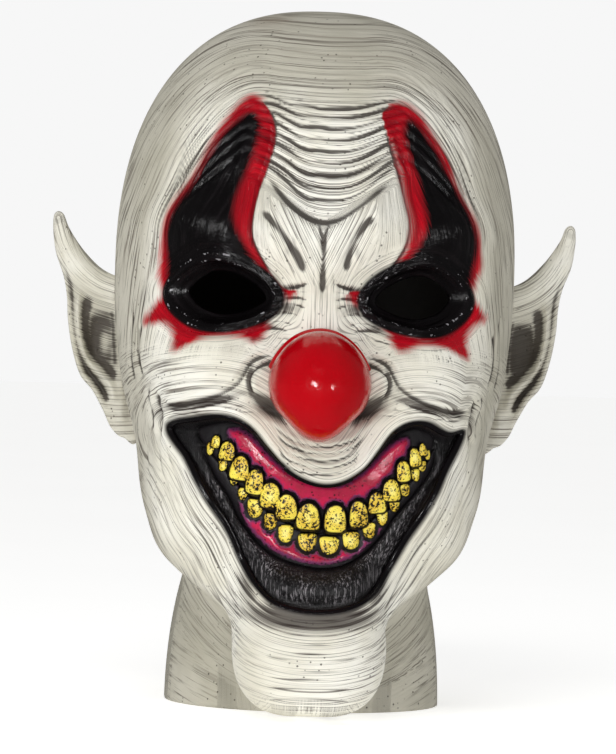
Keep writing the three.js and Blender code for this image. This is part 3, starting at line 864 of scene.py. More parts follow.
def latex_skin(name):
    """Brushed latex: cream centre, grey-beige outside, brown paint and painted shade in the grooves, painted
    brown shade in the hollows, red and black paint, painted glints round the eyes and a dark painted shade on
    the inner face.
    """
    g = Graph(name)
    streak, hair = brushed(g, 0.62, 4.0), brushed(g, 1.9, 2.0)
    specks = g.spread(g.cells(330.0), 0.17, 0.09)
    specks = g.maths("MULTIPLY", specks, g.spread(g.noise(70.0, 2.0), 0.47, 0.6))
    base = worn_latex(g, streak, hair, g.noise(22.0, 3.0), specks)
    painted, gloss = face_paint(g, base, streak, hair)
    grain = g.maths("MULTIPLY", g.noise(900.0, 2.0), 0.2)
    rough = g.spread(g.maths("SUBTRACT", gloss, grain), -0.2, 1.1, 0.6, 0.22)
    brushing = g.maths("ADD", g.maths("MULTIPLY", streak, -1.0), g.maths("MULTIPLY", hair, -0.45))
    ridges = g.maths("ADD", brushing, g.maths("MULTIPLY", g.noise(420.0, 2.0), 0.18))
    pits = g.maths("SUBTRACT", ridges, g.maths("MULTIPLY", specks, 0.5))
    return g.finish(painted, rough, g.bump(pits, 0.0012, 0.7), Specular_IOR_Level=0.25)


def glossy_red():
    g = Graph("red_gloss")
    cloud = g.noise(55.0, 3.0)
    tone = g.mix(g.spread(cloud, 0.3, 0.7), colour(164, 0, 10), colour(176, 0, 14))
    dust = g.spread(g.cells(520.0), 0.1, 0.05)
    tone = g.mix(g.maths("MULTIPLY", dust, 0.35), tone, colour(120, 0, 10))
    dimples = g.maths("ADD", g.noise(120.0, 3.0), g.maths("MULTIPLY", g.noise(650.0, 2.0), 0.25))
    rough = g.spread(g.noise(90.0, 2.0), 0.3, 0.7, 0.13, 0.2)
    return g.finish(tone, rough, g.bump(dimples, 0.0012, 0.3), Specular_IOR_Level=0.3)


def simple_latex(name, low, high, rough_low, rough_high, bump=0.4, scale=140.0):
    g = Graph(name)
    cloud = g.noise(scale * 0.4, 4.0)
    fine = g.noise(scale * 3.0, 3.0)
    tone = g.mix(g.spread(cloud, 0.3, 0.7), low, high)
    rough = g.spread(fine, 0.3, 0.7, rough_low, rough_high)
    height = g.maths("ADD", cloud, g.maths("MULTIPLY", fine, 0.5))
    return g.finish(tone, rough, g.bump(height, 0.001, bump), Specular_IOR_Level=0.4)


# ---------------------------------------------------------------- the skins
FACE_COLUMNS = 390
FACE_ROWS = 391                # one more than a multiple of INNER_STEP, so that both faces end on the rim
INNER_STEP = 3                 # the inner face is this much coarser
INNER_SHARE = 0.75             # share of the relief that the inner face follows, and the most of it
INNER_MOST = 12.0
REAR_COLUMNS = 110
CROWN_SHARE = 0.26             # share of the polar way that the crown's coarse rows cover
CROWN_ROWS = 42
NAPE_SHARE = 0.76              # where the rear skin splits into its two nape halves


def face_turns(columns):
    s = np.linspace(-1, 1, columns)
    return np.radians(90) * (0.66 * s + 0.34 * s**3)


def skin_fields(p):
    """Displaced points, their base normals and every attribute that the skin's material reads."""
    normals = head_normals(p)
    move, shade, eye, mouth = relief(p)
    seam = np.exp(-((p[:, 1] - PARTING) / 0.9) ** 2)
    fields = paint_fields(p, shade, eye, mouth)
    x, z = p[:, 0], p[:, 2]
    fields["fold"] = fold_level(p)
    # Painted brown shade in the hollows, as soft blobs.
    fields["shade_and_black_paint"] = blobs(p, PAINTED_SHADE_BLOBS)
    fields["mouth_zone"] = np.clip((14 - z) / 10, 0, 1) * np.clip((45 - mouth) / 12, 0, 1) * (p[:, 1] < 0)
    side = np.clip((70 - np.abs(x) - np.maximum(z - 60, 0) * 0.25) / 10, 0, 1)
    fields["white"] = np.clip(side * np.clip((-p[:, 1] - 42) / 22, 0, 1) * np.clip((118 - z) / 22, 0, 1), 0,
                              1)
    crisp_x = np.interp(z, [30, 50, 60, 80, 104, 110], [24, 30, 31, 27, 24, 26])
    fields["crisp"] = ((np.abs(x) < crisp_x) & (z > 32) & (z < 107)).astype(float)
    fields["inside"] = np.zeros(len(p))
    fields["stain"] = np.exp(-(((x + 20) / 9) ** 2 + ((z - 141) / 6) ** 2 + ((p[:, 1] + 35) / 14) ** 2))
    moved = p + normals * (move + 0.35 * seam)[:, None]
    return moved, normals, fields


def face_sheet(columns, shares):
    """Grid points and quads of the face, from the crown to the rim."""
    turns = face_turns(columns)
    grid = skin_grid([turns] * len(shares), shares).reshape(-1, 3)
    return grid, grid_faces(len(shares), columns)


def build_face():
    """The face: a fine outer skin and a coarser inner one, joined round the openings and the edge."""
    shares = np.concatenate([np.linspace(0, CROWN_SHARE, CROWN_ROWS, endpoint=False),
                             np.linspace(CROWN_SHARE, 1, FACE_ROWS - CROWN_ROWS)])
    inner_shares, inner_columns = shares[::INNER_STEP], FACE_COLUMNS // INNER_STEP
    outer, quads = face_sheet(FACE_COLUMNS, shares)
    inner, inner_quads = face_sheet(inner_columns, inner_shares)
    loops = []
    for line in (*eye_lines, mouth_line):
        outer, quads, loop, where = cut_hole(outer, quads, line)
        inner, inner_quads, inner_loop, inner_where = cut_hole(inner, inner_quads, line)
        loops.append((loop, where, inner_loop, inner_where))
    moved, normals, fields = skin_fields(outer)
    start = len(moved)
    inner_move = np.minimum(relief(inner)[0], INNER_MOST)
    inner_points = inner + head_normals(inner) * (INNER_SHARE * inner_move - LATEX)[:, None]
    faces = quads.tolist() + (inner_quads[:, ::-1] + start).tolist()

    vertices = [moved, inner_points]
    sources = [np.arange(start), np.zeros(len(inner_points), int)]
    count = start + len(inner_points)
    for loop, where, inner_loop, inner_where in loops:
        before = loop
        for ring in roll_edge(moved, normals[loop], loop):
            here = np.arange(count, count + len(loop))
            vertices.append(ring)
            sources.append(loop)
            count += len(loop)
            faces += np.column_stack([before, np.roll(before, -1), np.roll(here, -1), here]).tolist()
            before = here
        faces += zip_loops(before, where, inner_loop + start, inner_where, 1.0)
    edge, at = perimeter(FACE_ROWS, FACE_COLUMNS)
    inner_edge, inner_at = perimeter(len(inner_shares), inner_columns)
    faces += zip_loops(edge, at, inner_edge + start, inner_at, 4.0)

    attributes = {key: values[np.concatenate(sources)] for key, values in fields.items()}
    for key, bare in (BARE | {"inside": 1}).items():
        attributes[key][start:start + len(inner_points)] = bare
    face = make_object("face_skin_latex", np.vstack(vertices), faces, skin_material, attributes)
    tidy_mesh(face)
    declare(face, "face_skin")


def declare(obj, node):
    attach(obj, "mask")
    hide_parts(node)
    return obj


DOUBLED = 0.00002              # metres


def tidy_mesh(obj):
    """Merges doubled points and turns all faces outwards."""
    mesh = bmesh.new()
    mesh.from_mesh(obj.data)
    bmesh.ops.remove_doubles(mesh, verts=mesh.verts, dist=DOUBLED)
    bmesh.ops.recalc_face_normals(mesh, faces=mesh.faces)
    mesh.to_mesh(obj.data)
    mesh.free()
    obj.data.validate()


def shell_object(name, turns, shares, material):
    """A closed skin over a grid of rays, with the same grid on its inner face."""
    base = skin_grid(turns, shares)
    rows, columns = base.shape[:2]
    flat = base.reshape(-1, 3)
    moved, normals, fields = skin_fields(flat)
    inner = flat - normals * LATEX
    start = len(flat)
    faces = grid_faces(rows, columns).tolist() + grid_faces(rows, columns, start, flip=True).tolist()
    edge, _ = perimeter(rows, columns)
    ahead = np.roll(edge, -1)
    faces += np.column_stack([edge, ahead, ahead + start, edge + start]).tolist()
    bare_side = {key: np.full(start, float(bare)) for key, bare in (BARE | {"inside": 1}).items()}
    attributes = {key: np.concatenate([values, bare_side[key]]) for key, values in fields.items()}
    made = make_object(name, np.vstack([moved, inner]), faces, material, attributes)
    tidy_mesh(made)
    return made


SLIT_TOP = -45.0
SLIT_HALF_WIDTH = 2.5
RELIEF_RADIUS = 5.0


def slit_edge(z):
    """Half the width of the nape slit at a height, with its round end."""
    up = np.clip(SLIT_TOP - z, 0, None)
    hole = np.sqrt(np.clip(RELIEF_RADIUS**2 - (up - RELIEF_RADIUS) ** 2, 0, None))
    return np.where(up <= 0, 0.0, np.where(up < RELIEF_RADIUS, hole, np.maximum(hole, SLIT_HALF_WIDTH)))


def nape_turns(side, share, polar):
    """The turns of one row of a nape half, from the side of the head to the slit."""
    ray = directions(np.array([math.pi]), np.array([share * polar]))
    r = along_rays(RAY_CENTRE, ray, RAY_NEAR, RAY_FAR)[0]
    reach, z = r * math.sin(share * polar), r * math.cos(share * polar)
    last = math.pi - math.asin(min(float(slit_edge(z)) / reach, 1))
    turn = math.pi / 2 + (last - math.pi / 2) * np.linspace(0, 1, REAR_COLUMNS // 2)
    return turn if side > 0 else -turn[::-1]


def build_rear():
    """The rear skin, and the two nape halves beside the slit."""
    straight = np.radians(np.linspace(90, 270, REAR_COLUMNS))
    rows = np.linspace(0, NAPE_SHARE, 84)
    upper = shell_object("back_skin_latex", [straight] * len(rows), rows, skin_material)
    declare(upper, "back_skin")
    rows = np.linspace(NAPE_SHARE, 1, 52)
    middle = rim_polar(np.array([math.pi]))[0]
    for side, body, node in ((1, "right_flap", "right_back_flap"), (-1, "left_flap", "left_back_flap")):
        turns = [nape_turns(side, share, middle) for share in rows]
        half = shell_object(f"{body}_nape_latex", turns, rows, skin_material)
        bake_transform(half)
        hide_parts(node)


# ---------------------------------------------------------------- pieces drawn as an outline
def outline_sheet(line, step):
    """A fine grid cut to an outline in the front view: points, quads and which points lie on the outline."""
    low, high = line.min(0) - step, line.max(0) + step
    xs, zs = np.arange(low[0], high[0] + step, step), np.arange(low[1], high[1] + step, step)
    x, z = np.meshgrid(xs, zs)
    flat = np.column_stack([x.ravel(), z.ravel()])
    quads = grid_faces(len(zs), len(xs))
    quads = quads[inside(flat[quads].mean(1), line)]
    sides = np.sort(np.vstack([quads[:, [k, (k + 1) % 4]] for k in range(4)]), axis=1)
    pairs, counts = np.unique(sides, axis=0, return_counts=True)
    rim = np.unique(pairs[counts == 1])
    _, where = line_distance(flat[rim], line, closed=True)
    ends = np.vstack([line, line[:1]])
    flat[rim] = np.column_stack([np.interp(where * len(line), np.arange(len(ends)), ends[:, k]) for k in (0,
                                                                                                          1)])
    used = np.unique(quads)
    lookup = np.full(len(flat), -1)
    lookup[used] = np.arange(len(used))
    on_rim = np.zeros(len(used), bool)
    on_rim[lookup[rim]] = True
    return flat[used], lookup[quads], on_rim


def outline_piece(name, line, step, front, back, radius, material, fields=None):
    """A closed, round-edged piece. front and back give its depth (Y) at points of the front view."""
    points, quads, on_rim = outline_sheet(line, step)
    depth = np.clip(-signed_distance(points, line)[0], 0, radius)
    round_off = np.sqrt(np.clip(1 - (1 - depth / radius) ** 2, 0, 1))
    near, far = front(points), back(points)
    middle = 0.7 * near + 0.3 * far
    near, far = middle + (near - middle) * round_off, middle + (far - middle) * round_off
    near[on_rim] = far[on_rim] = middle[on_rim]
    inner = np.flatnonzero(~on_rim)
    mirrored = np.arange(len(points))
    mirrored[inner] = len(points) + np.arange(len(inner))
    vertices = np.vstack([np.column_stack([points[:, 0], near, points[:, 1]]),
                          np.column_stack([points[inner, 0], far[inner], points[inner, 1]])])
    faces = quads.tolist() + mirrored[quads][:, ::-1].tolist()
    attributes = {}
    if fields:
        # The back face keeps every field but the painted shade.
        attributes = {key: np.concatenate([values, values[inner] * (key != "shade_and_black_paint")])
                      for key, values in fields(points).items()}
    made = make_object(name, vertices, faces, material, attributes)
    tidy_mesh(made)
    return made


def base_depth(points):
    return face_point(points)[:, 1]


# ---------------------------------------------------------------- the mouth
# Teeth as (x, z, width, height) in the front view.
UPPER_TEETH = [(-39, -26, 3, 5), (-34.5, -29.5, 6, 8), (-29.5, -36, 7.5, 10.5), (-23.5, -41, 7, 11),
               (-17.5, -46, 8, 11),
               (-11, -50.5, 8.5, 11), (-2.5, -54, 9.5, 11.5), (8, -54.5, 9, 12), (17, -52.5, 7.5, 11.5),
               (24, -48, 7, 9), (29.5, -43, 7, 9.5), (34, -35.5, 5.5, 9), (38.5, -30, 4.5, 8),
               (41.5, -27, 2.5, 5)]
LOWER_TEETH = [(-41, -29, 2.5, 5), (-36, -35, 3, 5), (-31.5, -40, 3, 6), (-28, -46, 3.5, 5),
               (-23, -51.5, 6.5, 8),
               (-17, -56.5, 5, 7), (-11, -61, 6, 7.5), (-2.5, -64, 7.5, 7.5), (6, -65, 8, 7.5),
               (14.5, -63, 7, 7.5),
               (21.5, -59, 5, 6.5), (26.5, -54, 4, 6), (31, -48.5, 4, 6), (35, -43, 3.5, 5), (39, -37, 3, 5),
               (41.5, -33.5, 3, 4), (43.5, -29, 1.8, 4)]
UPPER_PINK = [(-35, -22.5), (-33, -20), (-26, -22), (-18, -30), (-10, -36.3), (0, -40.3), (10, -40.3),
              (18, -35.3),
              (25, -28), (31, -23), (36, -22), (36, -28), (29, -38), (23, -44), (16, -49), (8, -51.5),
              (0, -51.5),
              (-8, -49), (-15, -44), (-22, -39), (-31, -32)]
LOWER_PINK = [(-31, -44), (-27.5, -56), (-20.5, -64.5), (-12, -69.7), (0, -72.7), (10, -71.7),
              (18.5, -67.5), (25.7, -60),
              (30, -51), (27, -52), (20, -58), (12, -62), (0, -64), (-12, -60), (-22, -52), (-28, -43)]
UPPER_BAND = [(-46, -22), (-40, -19), (-33, -18.5), (-26, -20.5), (-18, -28.5), (-10, -34.5), (0, -38.5),
              (10, -38.5),
              (18, -33.5), (25, -26.5), (31, -21.5), (36, -19), (41, -18.8), (46, -22.5), (43, -32),
              (37, -39),
              (31, -48), (24, -53), (17, -58), (8, -60.3), (-3, -59.8), (-11, -56), (-18, -52), (-25, -46.5),
              (-31, -41), (-37, -34), (-42, -29)]
LOWER_BAND = [(-44, -28), (-37, -34.5), (-31, -41.5), (-25, -47), (-18, -52.5), (-11, -56.5), (-3, -60.3),
              (8, -60.8),
              (17, -58.5), (24, -53.5), (31, -48.5), (37, -39.5), (43, -32.5), (46, -27), (46, -33),
              (42, -40),
              (37.5, -46), (31.5, -53), (26.5, -61), (19, -68.5), (10.5, -72.8), (0, -73.7), (-13, -70.5),
              (-21.5, -65),
              (-29, -56), (-33.5, -47), (-39, -39)]
GUM_FRONT = 5.2
LINING_EDGE = 3.1              # depth of the lining behind the skin's edge
LINING_RIM = 4.0               # and how wide its level edge is
LIP_HEIGHT = 5.0               # of the black lower lip over the lining
PINK_CROWN = 2.2
TOOTH_FRONT = 2.0
TOOTH_ROOT = 4.0               # how far a tooth reaches back from its edge
TOOTH_ANGLES = np.linspace(0, 2 * math.pi, 40, endpoint=False)
TOOTH_SPARE = 0.4              # how far each tooth's dark edge reaches past its yellow
upper_band, lower_band = smooth_line(UPPER_BAND, 0.6, True), smooth_line(LOWER_BAND, 0.6, True)
upper_pink, lower_pink = smooth_line(UPPER_PINK, 0.6, True), smooth_line(LOWER_PINK, 0.6, True)


def tooth_outline(tooth, up):
    """A tooth's outline: broad where it bites, narrower at the gum. up is 1 if the gum is above."""
    x, z, width, height = tooth
    lean = math.radians(0.2 * x)
    c, s = np.cos(TOOTH_ANGLES), np.sin(TOOTH_ANGLES)
    towards_gum = s * up
    power = 3.1 - 0.95 * towards_gum
    reach = (np.abs(c) ** power + np.abs(s) ** power) ** (-1 / power)
    u = c * reach * (width / 2 + TOOTH_SPARE) * (1 - 0.18 * towards_gum * reach)
    v = s * reach * (height / 2 + TOOTH_SPARE)
    across = u * math.cos(lean) - v * math.sin(lean)
    return np.column_stack([x + across, z + v * math.cos(lean) + u * math.sin(lean)])


def tooth_row(name, teeth, up, sunk_row, material):
    """Every tooth of a row as a domed, closed casting."""
    vertices, faces, cores = [], [], []
    shares = np.array([0.0, 0.25, 0.45, 0.62, 0.74, 0.82, 0.88, 0.94, 1.0])
    for number, tooth in enumerate(teeth):
        centre = np.array([tooth[0], tooth[1]], float)
        line = tooth_outline(tooth, up)
        wobble = 1 + 0.025 * np.sin(3 * TOOTH_ANGLES + number * 1.7)
        line = centre + (line - centre) * wobble[:, None]
        start, count = sum(len(v) for v in vertices), len(line)
        dome = min(3.0, 0.42 * tooth[2] + 0.6)
        rings = []
        for share in shares[1:]:
            flat = centre + (line - centre) * share
            sunk = TOOTH_FRONT + sunk_row + dome * (1 - math.sqrt(max(1 - share**3.2, 0)))
            rings.append(np.column_stack([flat[:, 0], base_depth(flat) + sunk, flat[:, 1]]))
        root = rings[-1] + [0, TOOTH_ROOT, 0]
        tip = np.array([[centre[0], rings[0][:, 1].mean() - 0.05, centre[1]]])
        back = np.array([[centre[0], root[:, 1].mean(), centre[1]]])
        vertices.append(np.vstack([tip, *rings, root, back]))
        cores.append(np.concatenate([[1.0], np.repeat(1 - shares[1:], count), np.zeros(count), [0.0]]))
        first = start + 1
        faces += [(start, first + (k + 1) % count, first + k) for k in range(count)]
        for ring in range(len(rings)):
            a = first + ring * count
            b = a + count
            faces += [(a + k, a + (k + 1) % count, b + (k + 1) % count, b + k) for k in range(count)]
        last = first + len(rings) * count
        faces += [(last + count, last + k, last + (k + 1) % count) for k in range(count)]
    made = make_object(name, np.vstack(vertices), faces, material, {"core": np.concatenate(cores)})
    tidy_mesh(made)
    return made


def tooth_distance(points):
    """Distance from points of the front view to the nearest tooth's outline, negative inside it."""
    best = np.full(len(points), FAR)
    for teeth, up in ((UPPER_TEETH, 1), (LOWER_TEETH, -1)):
        for tooth in teeth:
            best = np.minimum(best, signed_distance(points, tooth_outline(tooth, up), NEAR_TEETH)[0])
    return best


def gum_fields(pink):
    def fields(points):
        return {"tooth_d": tooth_distance(points), "pink_d": signed_distance(points, pink, NEAR_TEETH)[0]}
    return fields


def gum_front(pink):
    def front(points):
        crown = np.clip(-signed_distance(points, pink, NEAR_TEETH)[0] / 3.0, 0, 1)
        around = np.clip(tooth_distance(points) / 2.2, 0, 1)
        swell = np.sin(crown * math.pi / 2) * np.sin(around * math.pi / 2)
        return base_depth(points) + GUM_FRONT - PINK_CROWN * swell
    return front


def lip_bulge(points):
    """How far the black lower lip stands out, from 0 under the gums to 1 along its middle."""
    gums = np.minimum(signed_distance(points, lower_band)[0], signed_distance(points, upper_band)[0])
    rim = np.clip(-signed_distance(points, mouth_line)[0], 0, None)
    share = np.clip(gums, 0, None) / (np.clip(gums, 0, None) + rim + 1e-3)
    strength = np.interp(points[:, 1], [-62, -44, -30, -22], [1, 0.75, 0.45, 0.1])
    return strength * np.sin(math.pi * np.clip(share, 0, 1) ** 0.8) ** 0.8, gums, rim


def lining_front(points):
    bulge, gums, rim = lip_bulge(points)
    sunk = np.interp(gums, [-2.5, -0.5, 1.0], [9.5, 7.5, 6.4])
    near_rim = np.clip(1 - rim / LINING_RIM, 0, 1)
    return base_depth(points) + (sunk - LIP_HEIGHT * bulge) * (1 - near_rim) + LINING_EDGE * near_rim


def lining_fields(points):
    bulge, gums, rim = lip_bulge(points)
    return {"bulge": bulge, "gum_d": gums, "rim_d": rim}


def grown(line, by):
    """An outline moved outwards."""
    along = np.roll(line, -1, 0) - np.roll(line, 1, 0)
    normal = np.column_stack([along[:, 1], -along[:, 0]])
    normal /= np.linalg.norm(normal, axis=1, keepdims=True)
    area = 0.5 * np.sum(line[:, 0] * np.roll(line[:, 1], -1) - np.roll(line[:, 0], -1) * line[:, 1])
    return line + normal * by * np.sign(area)


def build_mouth():
    lining = outline_piece("mouth_lining_latex", grown(mouth_line, 2.6), 0.7, lining_front,
                           lambda q: lining_front(q) + 2.2, 0.6, lip_black(), lining_fields)
    declare(lining, "mouth_lining")
    pink, yellow = gum_pink(), tooth_yellow()
    for row, band, outline in (("upper", upper_band, upper_pink), ("lower", lower_band, lower_pink)):
        gum = outline_piece(f"{row}_gum_casting", band, 0.5, gum_front(outline),
                            lambda q: base_depth(q) + GUM_FRONT + 3.0, 2.4, pink, gum_fields(outline))
        declare(gum, f"{row}_gum")
    for row, teeth, up, sunk in (("upper", UPPER_TEETH, 1, 0.0), ("lower", LOWER_TEETH, -1, 1.9)):
        declare(tooth_row(f"{row}_teeth_castings", teeth, up, sunk, yellow), f"{row}_teeth")


def lip_black():
    """Black lip with short brush lines that run from the gum to the chin, with a pale painted sheen on them
    where the lower lip bulges.
    """
    g = Graph("black_lip")
    across = g.vector("MULTIPLY", g.texture, (1500.0, 1500.0, 110.0))
    hair = g.noise(1.0, 3.0, across, 0.7)
    patchy = g.noise(90.0, 2.0)
    bulge = g.attribute("bulge")
    # Painted sheen: pale streaks on the brush lines where the lower lip bulges.
    painted_sheen_hairs = g.maths("MULTIPLY", g.spread(hair, 0.52, 0.62), g.spread(bulge, 0.3, 0.75))
    painted_sheen_hairs = g.maths("MULTIPLY", painted_sheen_hairs, g.spread(patchy, 0.35, 0.55, 0.3, 1.0))
    tone = g.mix(g.spread(patchy, 0.3, 0.7), colour(8, 6, 7), colour(20, 17, 19))
    tone = g.mix(g.maths("MULTIPLY", painted_sheen_hairs, 0.75), tone, colour(150, 145, 148))
    warm = g.spread(g.attribute("rim_d"), 2.2, 0.2)
    tone = g.mix(g.maths("MULTIPLY", warm, 0.35), tone, colour(60, 46, 40))
    height = g.maths("ADD", g.maths("MULTIPLY", hair, 1.0), g.maths("MULTIPLY", g.noise(600.0, 2.0), 0.3))
    rough = g.spread(hair, 0.35, 0.65, 0.28, 0.5)
    return g.finish(tone, rough, g.bump(height, 0.001, 0.8), Specular_IOR_Level=0.4)


def gum_pink():
    """Glossy pink gums that turn bluish at their edges and black round the teeth, with black specks."""
    g = Graph("pink_gum")
    wear = g.noise(700.0, 3.0)
    cloud = g.noise(110.0, 3.0)
    ragged = g.maths("MULTIPLY", g.maths("SUBTRACT", wear, 0.5), 2.6)
    tooth_d = g.maths("ADD", g.attribute("tooth_d"), ragged)
    pink_d = g.maths("ADD", g.attribute("pink_d"), ragged)
    rose = g.mix(g.spread(cloud, 0.3, 0.7), colour(196, 26, 74), colour(160, 18, 52))
    edge = g.maths("MAXIMUM", g.spread(pink_d, -2.6, -0.8), g.spread(tooth_d, 1.9, 0.9))
    rose = g.mix(g.maths("MULTIPLY", edge, 0.8), rose, colour(104, 62, 104))
    black = g.maths("MAXIMUM", g.spread(pink_d, -1.0, 0.1), g.spread(tooth_d, 1.0, 0.45))
    specks = g.maths("MULTIPLY", g.spread(g.cells(620.0), 0.32, 0.2),
                     g.spread(g.noise(170.0, 2.0), 0.4, 0.55))
    tone = g.mix(g.maths("MULTIPLY", specks, 0.85), rose, colour(30, 14, 22))
    tone = g.mix(black, tone, colour(20, 15, 19))
    rough = g.maths("ADD", g.spread(cloud, 0.3, 0.7, 0.16, 0.3), g.maths("MULTIPLY", black, 0.3))
    height = g.maths("ADD", g.maths("MULTIPLY", cloud, 0.8), g.maths("MULTIPLY", wear, 0.25))
    return g.finish(tone, rough, g.bump(height, 0.0011, 0.6), Specular_IOR_Level=0.55)


def tooth_yellow():
    """Bright yellow teeth with a dense black stipple and a darker edge."""
    g = Graph("stippled_tooth")
    core = g.attribute("core")
    coarse = g.noise(1050.0, 3.0)
    fine = g.noise(2300.0, 2.0)
    region = g.noise(150.0, 2.0)
    shade = g.mix(g.spread(region, 0.35, 0.65), colour(246, 226, 84), colour(222, 184, 54))
    pale = g.maths("MULTIPLY", g.spread(core, 0.45, 0.9), g.spread(region, 0.55, 0.42))
    shade = g.mix(g.maths("MULTIPLY", pale, 0.6), shade, colour(250, 240, 150))
    stipple = g.maths("ADD", g.maths("MULTIPLY", coarse, 0.7), g.maths("MULTIPLY", fine, 0.3))
    limit = g.maths("ADD", stipple, g.maths("MULTIPLY", g.maths("SUBTRACT", region, 0.5), 0.35))
    spots = g.spread(limit, 0.515, 0.555)
    tone = g.mix(spots, shade, colour(26, 20, 14))
    tone = g.mix(g.spread(core, 0.24, 0.15), tone, colour(12, 8, 8))
    rough = g.spread(stipple, 0.4, 0.6, 0.28, 0.42)
    return g.finish(tone, rough, g.bump(g.maths("MULTIPLY", stipple, -1.0), 0.0006, 0.6),
                    Specular_IOR_Level=0.5)


# ---------------------------------------------------------------- nose
NOSE_CENTRE = np.array([0.0, -120.0, -3.0])
NOSE_DEPTH = 27.0
# The nose's outline from the front: angle above the level in degrees, and radius.
NOSE_OUTLINE = [(-90, 21.8), (-75, 21.0), (-63, 19.8), (-50, 18.5), (-40, 18.5), (-25, 19.5), (-13, 20.4),
                (0, 20.9),
                (25, 20.7), (45, 20.9), (61, 21.3), (75, 21.7), (90, 22.0)]
FLANGE_TILT = 109.0            # degrees back from the tip at which the rim behind the ball stands out
NOSE_BACK = 150.0


NOSE_AROUND, NOSE_RINGS = 96, 110


def nose_reach(turn):
    """The nose's radius for each turn about its axis, smoothed."""
    lift = np.degrees(np.arcsin(np.sin(turn)))
    angles, radii = zip(*NOSE_OUTLINE)
    reach = np.interp(lift, angles, radii)
    slow = np.abs(np.fft.fftfreq(NOSE_AROUND, 1 / NOSE_AROUND)) < 7
    return np.real(np.fft.ifft(np.fft.fft(reach) * slow)), np.clip((lift + 32) / 24, 0, 1)


def build_nose():
    """A pear-shaped ball that narrows downwards, with a soft ring where it meets the face."""
    around = NOSE_AROUND
    turn = np.linspace(0, 2 * math.pi, around, endpoint=False)
    reach, upper = nose_reach(turn)
    rings = []
    for degrees in np.linspace(3, NOSE_BACK, NOSE_RINGS):
        tilt = math.radians(degrees)
        rim = math.exp(-(((degrees - FLANGE_TILT) / 6.5) ** 4))
        spread = math.sin(tilt) * (1 - 0.055 * upper) * (1 - rim * upper) + rim * upper
        x = reach * np.cos(turn) * spread
        z = reach * np.sin(turn) * spread
        rings.append(NOSE_CENTRE + np.column_stack([x, np.full(around, -NOSE_DEPTH * math.cos(tilt)), z]))
    vertices = np.vstack(rings + [[NOSE_CENTRE + [0, -NOSE_DEPTH, 0]],
                                  [NOSE_CENTRE + [0, 0.9 * NOSE_DEPTH, 0]]])
    dents = 0.35 * np.sin(vertices[:, 0] / 3.1 + 0.7) * np.sin(vertices[:, 2] / 3.7 - 0.4)
    vertices[:, 1] += dents
    faces = []
    for ring in range(NOSE_RINGS - 1):
        a = ring * around
        b = a + around
        faces += [(a + k, b + k, b + (k + 1) % around, a + (k + 1) % around) for k in range(around)]
    tip, end = NOSE_RINGS * around, NOSE_RINGS * around + 1
    faces += [(tip, k, (k + 1) % around) for k in range(around)]
    last = (NOSE_RINGS - 1) * around
    faces += [(end, last + (k + 1) % around, last + k) for k in range(around)]
    nose = make_object("red_nose_ball", vertices, faces, glossy_red())
    tidy_mesh(nose)
    declare(nose, "red_nose")


# ---------------------------------------------------------------- ears
EAR = [(69, 38), (78, 38.5), (87, 42), (95, 49.5), (101, 58), (104, 64.5), (106.8, 65.5), (108.2, 62),
       (107, 50), (103.2, 38.5),
       (101.6, 30), (101, 21), (99, 9.5), (95.4, -1.5), (90, -8), (85.5, -16), (82, -23), (77, -27),
       (70, -24)]
# Ridges and hollows of the ear as (points, half width, rise, painted brown shade).
EAR_LINES = [
    ([(106, 63), (102.5, 52), (97, 43), (89, 36.5), (79, 33)], 5.2, 4.2, 0.0),      # arm from the tip
    ([(107, 52), (103.3, 41), (101, 30), (100, 21), (98, 10), (94.4, -0.5), (89, -7.5), (84.5, -16)], 1.5,
     2.6, 0.12),
    ([(96.5, 33), (97.3, 26), (96.6, 17), (94.6, 9), (91, 3.4), (86.5, -1), (82.5, -6), (81, -14)], 2.3,
     4.0, 0.0),
    ([(104.3, 44), (101.2, 35), (99.3, 26), (98.7, 18), (96.6, 9), (92.8, 0.8), (87.5, -5.5), (84, -11)],
     1.5, -3.4, 1.0),
    ([(81, 27), (79.5, 14), (78.5, 2), (78, -12), (78, -22)], 2.4, 2.2, 0.1),
    ([(93.5, 28), (94.3, 21), (93.2, 13), (90, 7), (86, 3), (82, -1)], 2.2, -1.2, 1.0),
    ([(82.6, 24), (81.8, 14), (80.8, 4)], 1.2, -2.0, 0.85),
    ([(86, 41), (95, 49.5), (101, 59)], 1.8, -0.8, 0.55),
    ([(95, 40), (90, 35), (84, 30)], 0.8, -0.8, 0.5),
    ([(100, 46), (95, 41), (91, 38.5)], 0.6, -0.5, 0.4),
]
EAR_LEAN = math.tan(math.radians(10))


